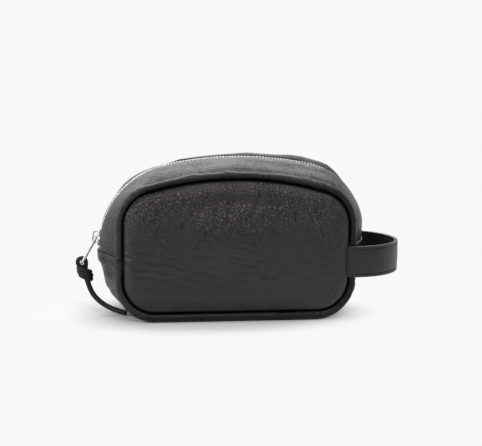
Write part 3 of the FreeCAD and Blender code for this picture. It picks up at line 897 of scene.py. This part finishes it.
def makePanel(name, p, seed, side, node):
    flat, away, along = panelPlan(p)
    height = panelHeight(p, flat, away, along, seed)
    grid = np.stack([flat[..., 0], -bag["halfDepth"] + p["groove"] - height, flat[..., 1]], -1)
    thin = 1 + rolled["leftThin"] * (1 - ease(flat[..., 0], *rolled["leftRun"]))  # the painted shade along the groove is narrower at the left
    # painted shade along the panel's edge in the groove
    seam = np.pad(1 - ease(away * thin, *p["seamRun"]), 1, constant_values=1.0)
    outer, inner = bothSides(turnedIn(p, grid), side)
    addLeather(name, outer, inner, panelLeather, seam, node)
    edge, step = lining["panelEdge"], lining["panelStep"]
    rows, columns = (np.arange(edge, count - edge, step) for count in outer.shape[:2])
    cloth = name.replace("Panel", "Lining")
    addLining(cloth, outer, inner, rows, columns, lining["panel"], node.replace("panel", "lining"))


makePanel("frontPanel", panel, 2, -1, "front_panel")
makePanel("rearPanel", panel, 11, 1, "rear_panel")
print("panels shaped")


# strips each side of the zip
zipStrip = {
    "slot": 5.5, "tuck": 5, "along": 380, "across": 40, "wave": 1.3, "waveSize": (24, 20, 24),
    "pucker": 1.6, "puckerPitch": 6, "puckerReach": 9, "endRun": (9, 22), "calmZip": 9, "calmSeam": (-0.4, 3),
    "press": 0.7, "pressRun": 6, "puffAt": 9, "puffRun": 6.5,
    "puffX": (-108, -60, -10, 25, 58, 80, 100),
    "frontPuff": (0.3, 0.3, 0.6, 0.8, 1.2, 1.0, 0.4), "rearPuff": (0.0, -0.9, 1.4, 2.4, 5.0, 5.6, 1.6),
    "lipX": (-54, -42, -24, 50, 70), "lipRise": (0, 1.7, 1.1, 0.9, 0),
    "lipRun": (0.2, 2.0), "lipBack": (3, 15),
}


def stripGrid(stations, leftZ, rightZ, upper, shares):
    # a line of points at each station of the depth, and how far along it each point lies
    rows, spans = [], []
    for y, height in stations:
        shape = gussetShape(y) if height is None else grown(seamShape, height)
        line = cutLine(outlineLine(shape), leftZ, rightZ, upper)
        places = shares(lengthsOf(line)[-1])
        line = resampled(line, places)
        rows.append(np.stack([line[:, 0], np.full(len(line), y), line[:, 1]], 1))
        spans.append(places * lengthsOf(line)[-1])
    return np.stack(rows, 1), np.stack(spans, 1)


def stripInside(shape, farEdge):
    # rows and columns of a strip that its lining follows
    rows = np.arange(lining["stripEnd"], shape[0] - lining["stripEnd"], lining["stripStep"])
    return rows, np.arange(lining["stripEdge"], shape[1] - farEdge, lining["stripAcross"])


def makeZipStrip(name, s, seed, side, node):
    stations = rollStations(-1, rolled)
    stations += [(-y, None) for y in np.linspace(rolled["stripFrom"], s["slot"], s["across"])]
    hems = bag["leftHem"] - s["tuck"], bag["rightHem"] - s["tuck"]
    grid, run = stripGrid(stations, *hems, True, lambda _: np.linspace(0, 1, s["along"]))
    x, y = grid[..., 0], -grid[..., 1]
    fromSeam, fromZip = bag["halfDepth"] - y, y - s["slot"]
    ends = ease(run, *s["endRun"]) * ease(run[-1:] - run, *s["endRun"])
    calm = ease(fromZip, 0, s["calmZip"]) * ease(fromSeam, *s["calmSeam"]) * ends
    pressed = -s["press"] * (1 - ease(fromZip, 0, s["pressRun"]))  # sewn down beside the teeth
    wave = noiseAt(grid, s["waveSize"], seed) * s["wave"]
    gathers = puckers(run, seed + 2, s) * np.exp(-fromSeam / s["puckerReach"])
    puff = np.interp(x, s["puffX"], s["rearPuff" if side > 0 else "frontPuff"])
    puff = puff * bell(fromZip, s["puffAt"], s["puffRun"]) * ends
    seam = np.zeros(y.shape)
    # painted shade on the rolled edge
    seam[:, :rollCount] = rollShade(rolled, x[:, :rollCount])
    if side > 0:  # the rear edge stands up beside the teeth
        rise = np.interp(x, s["lipX"], s["lipRise"])
        puff = puff + rise * ease(fromZip, *s["lipRun"]) * (1 - ease(fromZip, *s["lipBack"]))
        # painted shade on the raised edge beside the teeth
        seam = np.maximum(seam, rise.clip(0, 1) * (1 - ease(fromZip, *s["lipRun"])))
    moved = (wave + gathers) * calm + pressed + puff + valley(y)
    outer, inner = bothSides(grid + gridNormals(grid) * moved[..., None], side)
    addLeather(name, outer, inner, gussetLeather, seam, node)
    rows, columns = stripInside(y.shape, 1)
    cloth = name.replace("Strip", "Lining")
    addLining(cloth, outer, inner, rows, columns, lining["strip"], node.replace("gusset", "lining"))


makeZipStrip("frontZipStrip", zipStrip, 21, -1, "front_zip_gusset")
makeZipStrip("rearZipStrip", zipStrip, 33, 1, "rear_zip_gusset")
print("zip strips shaped")


# base strip with its turned hems
baseStrip = {
    "dense": 14, "denseCount": 34, "along": 250, "across": 46, "hemLift": 1.35, "hemRun": (7.0, 10.5),
    "hemSeam": (0.0, 2.5), "stitchLine": 4.3, "stitchEnd": 14, "groove": 0.22, "grooveRun": 0.6,
    "valleyUp": (2, 20), "calmSeam": (-0.4, 3), "calmHem": (6, 16), "calmUp": (0.5, 8), "floor": 0.1,
    "wave": 0.7, "waveSize": (24, 24, 20), "crease": 0.5, "creaseSize": (26, 30, 9), "creaseLow": -0.3,
    "sharp": 3.4, "pucker": 0.5, "puckerPitch": 8, "puckerReach": 5, "rounding": 4, "seed": 41,
}


def makeBaseStrip(s):
    def shares(length):
        dense = np.linspace(0, s["dense"], s["denseCount"])
        middle = np.linspace(s["dense"], length - s["dense"], s["along"])[1:-1]
        return np.concatenate([dense, middle, length - dense[::-1]]) / length

    stations = rollStations(-1, rolled)
    stations += [(y, None) for y in np.linspace(-rolled["stripFrom"], rolled["stripFrom"], s["across"])]
    stations += rollStations(1, rolled)[::-1]
    grid, run = stripGrid(stations, bag["leftHem"], bag["rightHem"], False, shares)
    x, y, z = np.moveaxis(grid, 2, 0)
    toHem = np.minimum(run, run[-1:] - run)
    fromSeam = bag["halfDepth"] - np.abs(y)
    lift = s["hemLift"] * (1 - ease(toHem, *s["hemRun"])) * ease(fromSeam, *s["hemSeam"])
    lift += valley(y) * ease(z, *s["valleyUp"]) - s["groove"] * bell(toHem, s["stitchLine"], s["grooveRun"])
    calm = ease(fromSeam, *s["calmSeam"]) * ease(toHem, *s["calmHem"]) * ease(z, *s["calmUp"])
    wave = noiseAt(grid, s["waveSize"], s["seed"]) * s["wave"]
    folds = folded(grid, s["creaseSize"], s["seed"] + 6, s["sharp"], s["creaseLow"]) * s["crease"]
    gathers = puckers(run, s["seed"] + 3, s) * np.exp(-fromSeam / s["puckerReach"])
    outer = grid - gridNormals(grid) * (lift + (wave - folds + gathers) * calm)[..., None]
    outer[..., 2] = np.maximum(outer[..., 2], s["floor"])
    normals = -gridNormals(outer)
    inner = outer - normals * bag["leather"]
    seam = np.zeros(run.shape)
    # painted shade on both rolled edges
    seam[:, :rollCount] = rollShade(rolled, x[:, :rollCount])
    seam[:, -rollCount:] = rollShade(rolled, x[:, -rollCount:][:, ::-1])[:, ::-1]
    addLeather("baseStrip", outer, inner, gussetLeather, seam, "base_gusset", s["rounding"])
    rows, columns = stripInside(run.shape, lining["stripEdge"])
    addLining("baseLining", outer, inner, rows, columns, lining["strip"], "base_lining")
    inside = slice(s["stitchEnd"], -s["stitchEnd"])
    k = round(s["stitchLine"] / s["dense"] * (s["denseCount"] - 1))
    return [(outer[place, inside], normals[place, inside]) for place in (k, -1 - k)]


hemRows = makeBaseStrip(baseStrip)
print("base strip hemmed")


# carrying strap, two plies sewn together
strap = {
    "root": 87.4, "turnX": 94, "inner": 42.3, "ply": 1.4, "dive": 1.7, "diveEnd": 1.5, "puff": 0.28,
    "edge": 0.45, "edgeTurns": (60, 20, -20, -60), "painted": 1.1, "groove": 0.22, "grooveRun": 0.55,
    "stitchFrom": 2.4, "nearRow": (1.0, 0.5, 0, -0.5, -1.2), "stitchOver": 0.08, "stitchEnd": 9,
    "rootStations": 14, "stations": 120,
}
strapLow, strapHigh = nodeBox("strap_face")
strapMiddle, strapHalf = (strapLow[2] + strapHigh[2]) / 2, (strapHigh[2] - strapLow[2]) / 2
stitchRow = strapHalf - strap["stitchFrom"]


def bendStrap(piece):
    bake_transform(piece)


def strapPath(radius, s):
    straight = np.linspace(s["root"], s["turnX"], s["rootStations"])
    dive = s["dive"] * (1 - ease(straight, s["root"], s["turnX"] - s["diveEnd"]))
    front = np.stack([straight, -radius + dive], 1)
    angles = np.linspace(-math.pi / 2, math.pi / 2, s["stations"])[1:-1]
    turn = np.stack([s["turnX"] + radius * np.cos(angles), radius * np.sin(angles)], 1)
    line = np.concatenate([front, turn, front[::-1] * [1, -1]])
    tangent = unit(np.gradient(line, axis=0))
    path = np.stack([line[:, 0], line[:, 1], np.full(len(line), strapMiddle)], 1)
    return path, np.stack([tangent[:, 1], -tangent[:, 0], np.zeros(len(line))], 1)


def plySection(s, faceSide):
    # (outwards, up): the sewn face is puffed between its two stitch lines
    row, top = stitchRow, strapHalf - s["edge"]
    heights = np.array([top, *(row + near for near in s["nearRow"]), row / 2, 0])
    heights = np.concatenate([heights, -heights[-2::-1]])
    sunk = s["groove"] * bell(np.abs(heights), row, s["grooveRun"])
    sewn = s["ply"] / 2 + s["puff"] * np.clip(1 - (heights / row) ** 2, 0, 1) - sunk
    flat = np.full(len(heights), -s["ply"] / 2)
    turns = np.radians(s["edgeTurns"])
    edge = [(s["ply"] / 2 * math.sin(a), top + s["edge"] * math.cos(a)) for a in turns]
    points = list(zip(sewn, heights))[::-1] + edge + list(zip(flat, heights))
    return np.array(points + [(out, -up) for out, up in edge[::-1]]) * [faceSide, 1]


def makePly(name, s, radius, faceSide, node):
    path, normals = strapPath(radius, s)
    section = plySection(s, faceSide)
    piece = addMesh(name, swept(path, normals, (0, 0, 1), section), strapLeather, edgePaint)
    painted = (strapHalf - s["edge"] * s["painted"]) * mm
    for face in piece.data.polygons:
        face.material_index = int(abs(face.center.z - strapMiddle * mm) > painted)
    settle(piece, None, "strap_leather", node)
    bendStrap(piece)
    sewn = path + normals * (s["ply"] / 2 - s["groove"] + s["stitchOver"]) * faceSide
    inside = slice(s["stitchEnd"], -s["stitchEnd"])
    return [(sewn[inside] + [0, 0, up], normals[inside] * faceSide) for up in (stitchRow, -stitchRow)]


strapRows = makePly("strapFace", strap, strap["inner"] + strap["ply"] * 1.5, 1, "strap_face")
strapRows += makePly("strapLining", strap, strap["inner"] + strap["ply"] * 0.5, -1, "strap_lining")
print("strap made")


# stitches
stitch = {
    "pitch": 3.0, "length": 1.8, "width": 1.0, "height": 0.55, "slant": 7, "segments": 8, "rings": 6,
}


def newTree(name):
    tree = bpy.data.node_groups.new(name, "GeometryNodeTree")
    for label, way in (("Line", "INPUT"), ("Result", "OUTPUT")):
        tree.interface.new_socket(label, in_out=way, socket_type="NodeSocketGeometry")
    kit = NodeKit(tree)
    return tree, kit, kit.node("GeometryNodeMeshToCurve", {}, {0: kit.node("NodeGroupInput")})


def closeTree(kit, row, finish):
    # the row as real geometry with its finish
    real = kit.node("GeometryNodeRealizeInstances", {}, {0: row})
    done = kit.node("GeometryNodeSetMaterial", {}, {0: real, "Material": finish})
    kit.node("NodeGroupOutput", {}, {0: done})


def runTree(name, mesh, tree):
    piece = newObject(name, mesh)
    piece.modifiers.new(tree.name, "NODES").node_group = tree
    return bake(piece)


def facing(kit, primary, primaryTo, secondaryTo):
    axes = {"primary_axis": primary, "secondary_axis": "X"}
    sockets = {"Primary Axis": primaryTo, "Secondary Axis": secondaryTo}
    return kit.node("FunctionNodeAxesToRotation", axes, sockets)


def stitchTree(s):
    tree, kit, line = newTree("stitchRow")
    sockets = {"Curve": line, "Length": s["pitch"] * mm}
    even = kit.node("GeometryNodeResampleCurve", {"mode": "LENGTH"}, sockets)
    outwards = kit.node("GeometryNodeInputNamedAttribute", {"data_type": "FLOAT_VECTOR"}, {"Name": "faceOut"})
    turn = facing(kit, "Z", outwards, kit.node("GeometryNodeInputTangent"))
    lean = kit.node("FunctionNodeEulerToRotation", {}, {0: (0, 0, math.radians(s["slant"]))})
    turn = kit.node("FunctionNodeRotateRotation", {"rotation_space": "LOCAL"}, {0: turn, 1: lean})
    sphere = {"Segments": s["segments"], "Rings": s["rings"], "Radius": 0.5}
    bead = kit.node("GeometryNodeMeshUVSphere", {}, sphere)
    bead = kit.node("GeometryNodeSetShadeSmooth", {}, {0: bead})
    row = kit.node("GeometryNodeInstanceOnPoints", {}, {
        "Points": even, "Instance": bead, "Rotation": turn,
        "Scale": (s["length"] * mm, s["width"] * mm, s["height"] * mm),
    })
    closeTree(kit, row, sewingThread)
    return tree


rowTree = stitchTree(stitch)


def makeStitches(name, rows):
    points, edges, outs = [], [], []
    for line, normals in rows:
        first = len(points)
        points += [tuple(p * mm) for p in line]
        outs += [tuple(n) for n in normals]
        edges += [(first + k, first + k + 1) for k in range(len(line) - 1)]
    mesh = bpy.data.meshes.new(name)
    mesh.from_pydata(points, edges, [])
    outwards = mesh.attributes.new("faceOut", "FLOAT_VECTOR", "POINT")
    outwards.data.foreach_set("vector", np.array(outs, np.float32).ravel())
    return runTree(name, mesh, rowTree)


settle(makeStitches("hemStitches", hemRows), "bag", "body_leather")
bendStrap(settle(makeStitches("strapStitches", strapRows), None, "strap_leather"))
print("stitches sewn")


# zip teeth along the middle of the bag
chain = {
    "depth": 1.65, "pitch": 2.5, "length": 1.05, "thickness": 2.6, "reach": 2.8, "overlap": 0.6,
    "bevel": 0.168, "bevelFrom": 30, "jawGap": 1.0, "jawDepth": 1.4, "part": 1.4, "partRun": 2.0,
    "heel": (0.3, 0.86), "shoulder": 1.3, "neck": (-0.8, 0.1), "neckShare": 0.35, "noseShares": (0.15, 0.45),
    "fromHem": 2.8, "step": 0.3, "sliderZ": 62.0,
    "lift": 0.5, "liftFrom": -64, "liftRun": 16, "liftAbove": 108,
}


def toothForm(c):
    half, jaw = c["thickness"] / 2, c["jawGap"] / 2
    heelRun, heelShare = c["heel"]
    neckFrom, neckTo = c["neck"]
    noseHigh, noseLow = c["noseShares"]
    # (towards the other row, out of the bag) round the jaws and the nose
    section = [
        (-c["reach"], jaw), (-c["reach"], half * heelShare), (-c["reach"] + heelRun, half),
        (-c["shoulder"], half), (neckFrom, half * c["neckShare"]), (neckTo, half * c["neckShare"]),
        (c["overlap"], half * noseHigh), (c["overlap"], -half * noseLow), (neckTo, -half),
        (-c["reach"], -half), (-c["reach"], -jaw), (-c["jawDepth"], -jaw), (-c["jawDepth"], jaw),
    ]
    rings = [[(u, v, w) for v, w in section] for u in (-c["length"] / 2, c["length"] / 2)]
    tooth = addMesh("toothForm", lofted(rings), toothMetal)
    bevel = tooth.modifiers.new("bevel", "BEVEL")
    bevel.width = c["bevel"] * mm
    bevel.segments = 1
    bevel.limit_method = "ANGLE"
    bevel.angle_limit = math.radians(c["bevelFrom"])
    return bake(tooth)


def toothTree(c, form, count, side, phase):
    tree, kit, line = newTree("toothRow")
    even = kit.node("GeometryNodeResampleCurve", {"mode": "COUNT"}, {"Curve": line, "Count": count})
    place = kit.node("GeometryNodeInputPosition")
    x, z = (kit.axis(place, name) for name in "XZ")

    def ramp(value, start, run):
        return kit.node("ShaderNodeClamp", {}, {0: (value - start * mm) / (run * mm)})

    # parted below the slider at the left end, lifted over the top
    below = ramp(0 - z, -c["sliderZ"], c["partRun"]) * kit.maths("LESS_THAN", x, 0.0)
    lifted = ramp(x, c["liftFrom"], c["liftRun"]) * ramp(z, c["liftAbove"], c["liftRun"])
    aside = {"Y": below * (-side * c["part"] * mm), "Z": lifted * (c["lift"] * mm)}
    aside = kit.node("ShaderNodeCombineXYZ", {}, aside)
    moved = kit.node("GeometryNodeSetPosition", {}, {"Geometry": even, "Offset": aside})
    alongZip = kit.vector("MULTIPLY", kit.node("GeometryNodeInputTangent"), (side, side, side))
    order = kit.maths("MODULO", kit.node("GeometryNodeInputIndex") + phase, 2.0)
    row = kit.node("GeometryNodeInstanceOnPoints", {}, {
        "Points": moved, "Selection": kit.maths("LESS_THAN", order, 0.5),
        "Instance": kit.node("GeometryNodeObjectInfo", {}, {"Object": form}, "Geometry"),
        "Rotation": facing(kit, "Y", (0, side, 0), alongZip),
    })
    closeTree(kit, row, toothMetal)
    return tree


def makeTeeth(c):
    line = outlineLine(grown(girthShape, -c["depth"]), c["step"])
    track = cutLine(line, bag["leftHem"] + c["fromHem"], bag["rightHem"] + c["fromHem"], True)
    form = toothForm(c)
    count = int(lengthsOf(track)[-1] / (c["pitch"] / 2))
    points = [(x * mm, 0, z * mm) for x, z in track]
    rows = (("frontTeeth", 1, 1, "front_zip_teeth"), ("rearTeeth", -1, 0, "rear_zip_teeth"))
    for name, side, phase, node in rows:
        mesh = bpy.data.meshes.new(name)
        mesh.from_pydata(points, [(k, k + 1) for k in range(len(points) - 1)], [])
        settle(runTree(name, mesh, toothTree(c, form, count, side, phase)), "bag", "zip_metal", node)
    bpy.data.objects.remove(form)


makeTeeth(chain)
print("zip teeth set")


# slider, bridge and ring
slider = {
    "radius": 66.35, "axis": (-40, 0, 54.8), "angle": 6.23, "length": 12.6, "plate": 1.1, "chainHalf": 1.55,
    "tail": 3.05, "shoulder": 4.45, "narrow": (-1.6, 1.6), "flange": 0.75, "foot": 0.75, "corner": 1.5,
    "lap": 0.2, "wedge": (-5.55, -1.95, 1.1), "soft": 0.4, "rimSoft": 0.15, "wedgeSoft": 0.1, "rimEnd": 0.7,
    "cornerTurns": (90, 60, 35, 15, 3), "softShare": 2.1, "sharp": 50,
    "bridgeSpan": 10.4, "bridgeHigh": 3.35, "bridgeThick": 1.2, "bridgeWide": 2.4, "bridgeSunk": 0.5,
    "bridgeRound": 2.2, "stations": 9, "rimStations": 12, "wedgeStations": 5, "wedgeNarrow": 0.5,
    "bowStations": 7, "softSteps": 2, "bridgeSteps": 3,
}


def trackSpot(s, u, v, w):
    # (along, across, out from) the zip's path at the slider
    angle = math.radians(s["angle"]) + u / s["radius"]
    reach = s["radius"] + w
    return np.array(s["axis"]) + [-reach * math.cos(angle), v, reach * math.sin(angle)]


def sliderHalf(s, u):
    tail, shoulder = s["tail"] + s["flange"], s["shoulder"] + s["flange"]
    half = shoulder + (tail - shoulder) * float(ease(u, *s["narrow"]))
    end = s["length"] / 2 - abs(u)
    if end < s["corner"]:
        half -= s["corner"] * (1 - math.sqrt(max(1 - (1 - end / s["corner"]) ** 2, 0)))
    return half


def slab(s, us, sides, low, high, soft):
    # block along the zip between sides(u), with softened edges
    rings = []
    for u in us:
        left, right = sides(u)
        wide, tall = right - left, high - low
        radius = min(soft, wide / s["softShare"], tall / s["softShare"])
        section = roundedBox(wide, tall, radius, s["softSteps"])
        rings.append([trackSpot(s, u, (left + right) / 2 + v, (low + high) / 2 + w) for v, w in section])
    return lofted(rings)


def makeSlider(s):
    half, plateTop, chainTop = s["length"] / 2, s["chainHalf"] + s["plate"], s["chainHalf"] + s["lap"]
    ends = half - s["corner"] * (1 - np.sin(np.radians(s["cornerTurns"])))
    straight = np.linspace(-half + s["corner"], half - s["corner"], s["stations"])[1:-1]
    us = np.unique(np.round(np.concatenate([-ends, straight, ends[::-1]]), 4))
    middle = np.linspace(-half + s["rimEnd"], half - s["rimEnd"], s["rimStations"])
    low, high, wide = s["wedge"]

    def whole(u):
        return -sliderHalf(s, u), sliderHalf(s, u)

    def rightRim(u):
        return sliderHalf(s, u) - s["flange"], sliderHalf(s, u)

    def leftRim(u):
        return -sliderHalf(s, u), s["flange"] - sliderHalf(s, u)

    def wedge(u):
        reach = wide / 2 * (1 - s["wedgeNarrow"] * (u - low) / (high - low))
        return -reach, reach

    parts = [
        slab(s, us, whole, s["chainHalf"], plateTop, s["soft"]),
        slab(s, us, whole, -plateTop, -s["chainHalf"], s["soft"]),
    ]
    for rim in (rightRim, leftRim):
        parts.append(slab(s, middle, rim, s["foot"], chainTop, s["rimSoft"]))
        parts.append(slab(s, middle, rim, -chainTop, -s["foot"], s["rimSoft"]))
    wedgeLine = np.linspace(low, high, s["wedgeStations"])
    parts.append(slab(s, wedgeLine, wedge, -chainTop, chainTop, s["wedgeSoft"]))
    piece = keepEdges(addMesh("zipSlider", joined(parts), zipMetal), s["sharp"])
    settle(piece, "slider", "zip_metal", "zip_slider")


def makeBridge(s):
    # a flat strap of metal bowed over the slider's plate
    plateTop = s["chainHalf"] + s["plate"]
    top = plateTop + s["bridgeHigh"] + s["bridgeThick"] / 2
    reach, bow = s["bridgeSpan"] / 2 - s["bridgeThick"] / 2, s["bridgeRound"]
    path = [(-reach, plateTop - s["bridgeSunk"])]
    for angle in np.linspace(0, math.pi / 2, s["bowStations"]):
        path.append((-reach + bow * (1 - math.cos(angle)), top - bow * (1 - math.sin(angle))))
    path = np.array(path + [(-u, w) for u, w in path[::-1]])
    angle = math.radians(s["angle"])
    out = np.array([-math.cos(angle), 0, math.sin(angle)])
    up = np.array([math.sin(angle), 0, math.cos(angle)])
    tangent = unit(np.gradient(path, axis=0))
    spots = trackSpot(s, 0, 0, 0) + path[:, :1] * up + path[:, 1:] * out
    normals = -tangent[:, 1:] * up + tangent[:, :1] * out
    section = roundedBox(s["bridgeThick"], s["bridgeWide"], s["soft"], s["bridgeSteps"])
    bridge = addMesh("sliderBridge", swept(spots, normals, acrossBag, section), zipMetal)
    settle(keepEdges(bridge, s["sharp"]), "slider", "zip_metal", "slider_bridge")


def makeRing(r):
    plan = roundedBox(r["length"], r["width"], r["corner"], r["cornerSteps"]) + [r["length"] / 2, 0]
    tangent = unit(np.roll(plan, -1, 0) - np.roll(plan, 1, 0))
    face = np.cross(ringDown, acrossBag)
    spots = ringPivot + plan[:, :1] * ringDown + plan[:, 1:] * acrossBag
    normals = tangent[:, 1:] * ringDown - tangent[:, :1] * acrossBag
    section = roundedBox(r["wire"], r["wire"], r["wire"] * r["soft"], r["wireSteps"])
    deep = 1 + r["swell"] * ease(plan[:, 0], *r["swellFrom"]) * (1 - ease(plan[:, 0], *r["swellTo"]))
    rings = []
    for spot, normal, share in zip(spots, normals, deep):
        rings.append(spot + np.outer(section[:, 0], normal) + np.outer(section[:, 1] * share, face))
    settle(addMesh("pullRing", lofted(rings, True), zipMetal), "puller", "zip_metal", "pull_ring")


makeSlider(slider)
makeBridge(slider)
makeRing(ring)
print("slider and ring made")


# nodes of the frame that stay, with their finishes
kept = {
    "front_zip_tape": zipTape, "rear_zip_tape": zipTape,
    "zip_top_stops": zipMetal, "zip_bottom_stop": zipMetal,
}
for name, finish in kept.items():
    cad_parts[name].data.materials.clear()
    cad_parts[name].data.materials.append(finish)


# floor and light
stage = {
    "white": 0.94, "albedo": 0.95, "reach": 8, "low": -0.0001, "sky": 0.15, "aim": (0, 0, 60),
    "shade": {"centre": (-22, -8), "radii": (86, 48), "fade": (1.0, 1.75)},
    "horizon": 0.3, "above": (0.12, 0.55), "behind": (-0.45, 0.35), "wall": (-0.85, -0.35),
    "lamps": {
        "overhead": {"size": (1.4, 1.0), "at": (150, 100, 1300), "power": 6.0},
        "frontBox": {"size": (0.62, 0.5), "at": (60, -900, 800), "power": 4.6},
        "backBox": {"size": (1.6, 0.5), "at": (-180, 900, 750), "power": 8.0},
        "leftBox": {"size": (0.5, 0.7), "at": (-1000, -250, 450), "power": 5.0},
    },
}


def addFloor(s):
    mesh = bpy.data.meshes.new("floor")
    corners = ((-1, -1), (1, -1), (1, 1), (-1, 1))
    mesh.from_pydata([(x * s["reach"], y * s["reach"], s["low"]) for x, y in corners], [], [(0, 1, 2, 3)])
    material, kit, place = newFinish("studioFloor")
    (x, y), (across, deep) = s["shade"]["centre"], s["shade"]["radii"]
    scale, shift = (1 / (across * mm), 1 / (deep * mm), 1), (-x / across, -y / deep, 0)
    away = kit.vector("LENGTH", kit.mapped(place, scale, shift=shift), output="Value")
    far = kit.spread(away, *s["shade"]["fade"])  # past the shadow the sheet is evenly white
    matt = kit.node("ShaderNodeBsdfDiffuse", {}, {"Color": grey(s["albedo"])})
    even = kit.node("ShaderNodeEmission", {}, {"Color": grey(s["white"]), "Strength": 1.0})
    kit.close(kit.mixed(far, matt, even))
    mesh.materials.append(material)
    newObject("floor", mesh)


def addWorld(s):
    world = bpy.data.worlds.new("studio")
    scene.world = world
    world.use_nodes = True
    world.node_tree.nodes.clear()
    kit = NodeKit(world.node_tree)
    kinds = ("Is Camera Ray", "Is Glossy Ray", "Is Transmission Ray")
    seen, glossy, through = (kit.node("ShaderNodeLightPath", output=kind) for kind in kinds)
    toward = kit.node("ShaderNodeTexCoord", output="Generated")
    across, depth, rise = (kit.axis(toward, name) for name in "XYZ")
    clear = kit.maths("MAXIMUM", kit.spread(depth, *s["behind"]), kit.spread(rise, *s["above"]))
    clear = kit.maths("MAXIMUM", clear, kit.spread(across, *s["wall"], 1.0, 0.0))
    room = s["horizon"] + (s["white"] - s["horizon"]) * clear

    def glow(colour, strength):
        return kit.node("ShaderNodeBackground", {}, {"Color": grey(colour), "Strength": strength})

    unseen = kit.mixed(glossy, glow(1.0, s["sky"]), glow(1.0, room))
    shown = kit.maths("MAXIMUM", seen, through)
    surface = kit.mixed(shown, unseen, glow(s["white"], 1.0))
    kit.node("ShaderNodeOutputWorld", {}, {"Surface": surface})


def addLamps(s):
    for name, look in s["lamps"].items():
        lamp = bpy.data.lights.new(name, "AREA")
        lamp.shape = "RECTANGLE"
        lamp.size, lamp.size_y = look["size"]
        lamp.energy = look["power"]
        holder = newObject(name, lamp)
        holder.location = Vector(look["at"]) * mm
        turnTo(holder, Vector(s["aim"]) * mm)


addFloor(stage)
addWorld(stage)
addLamps(stage)
print("stage lit")
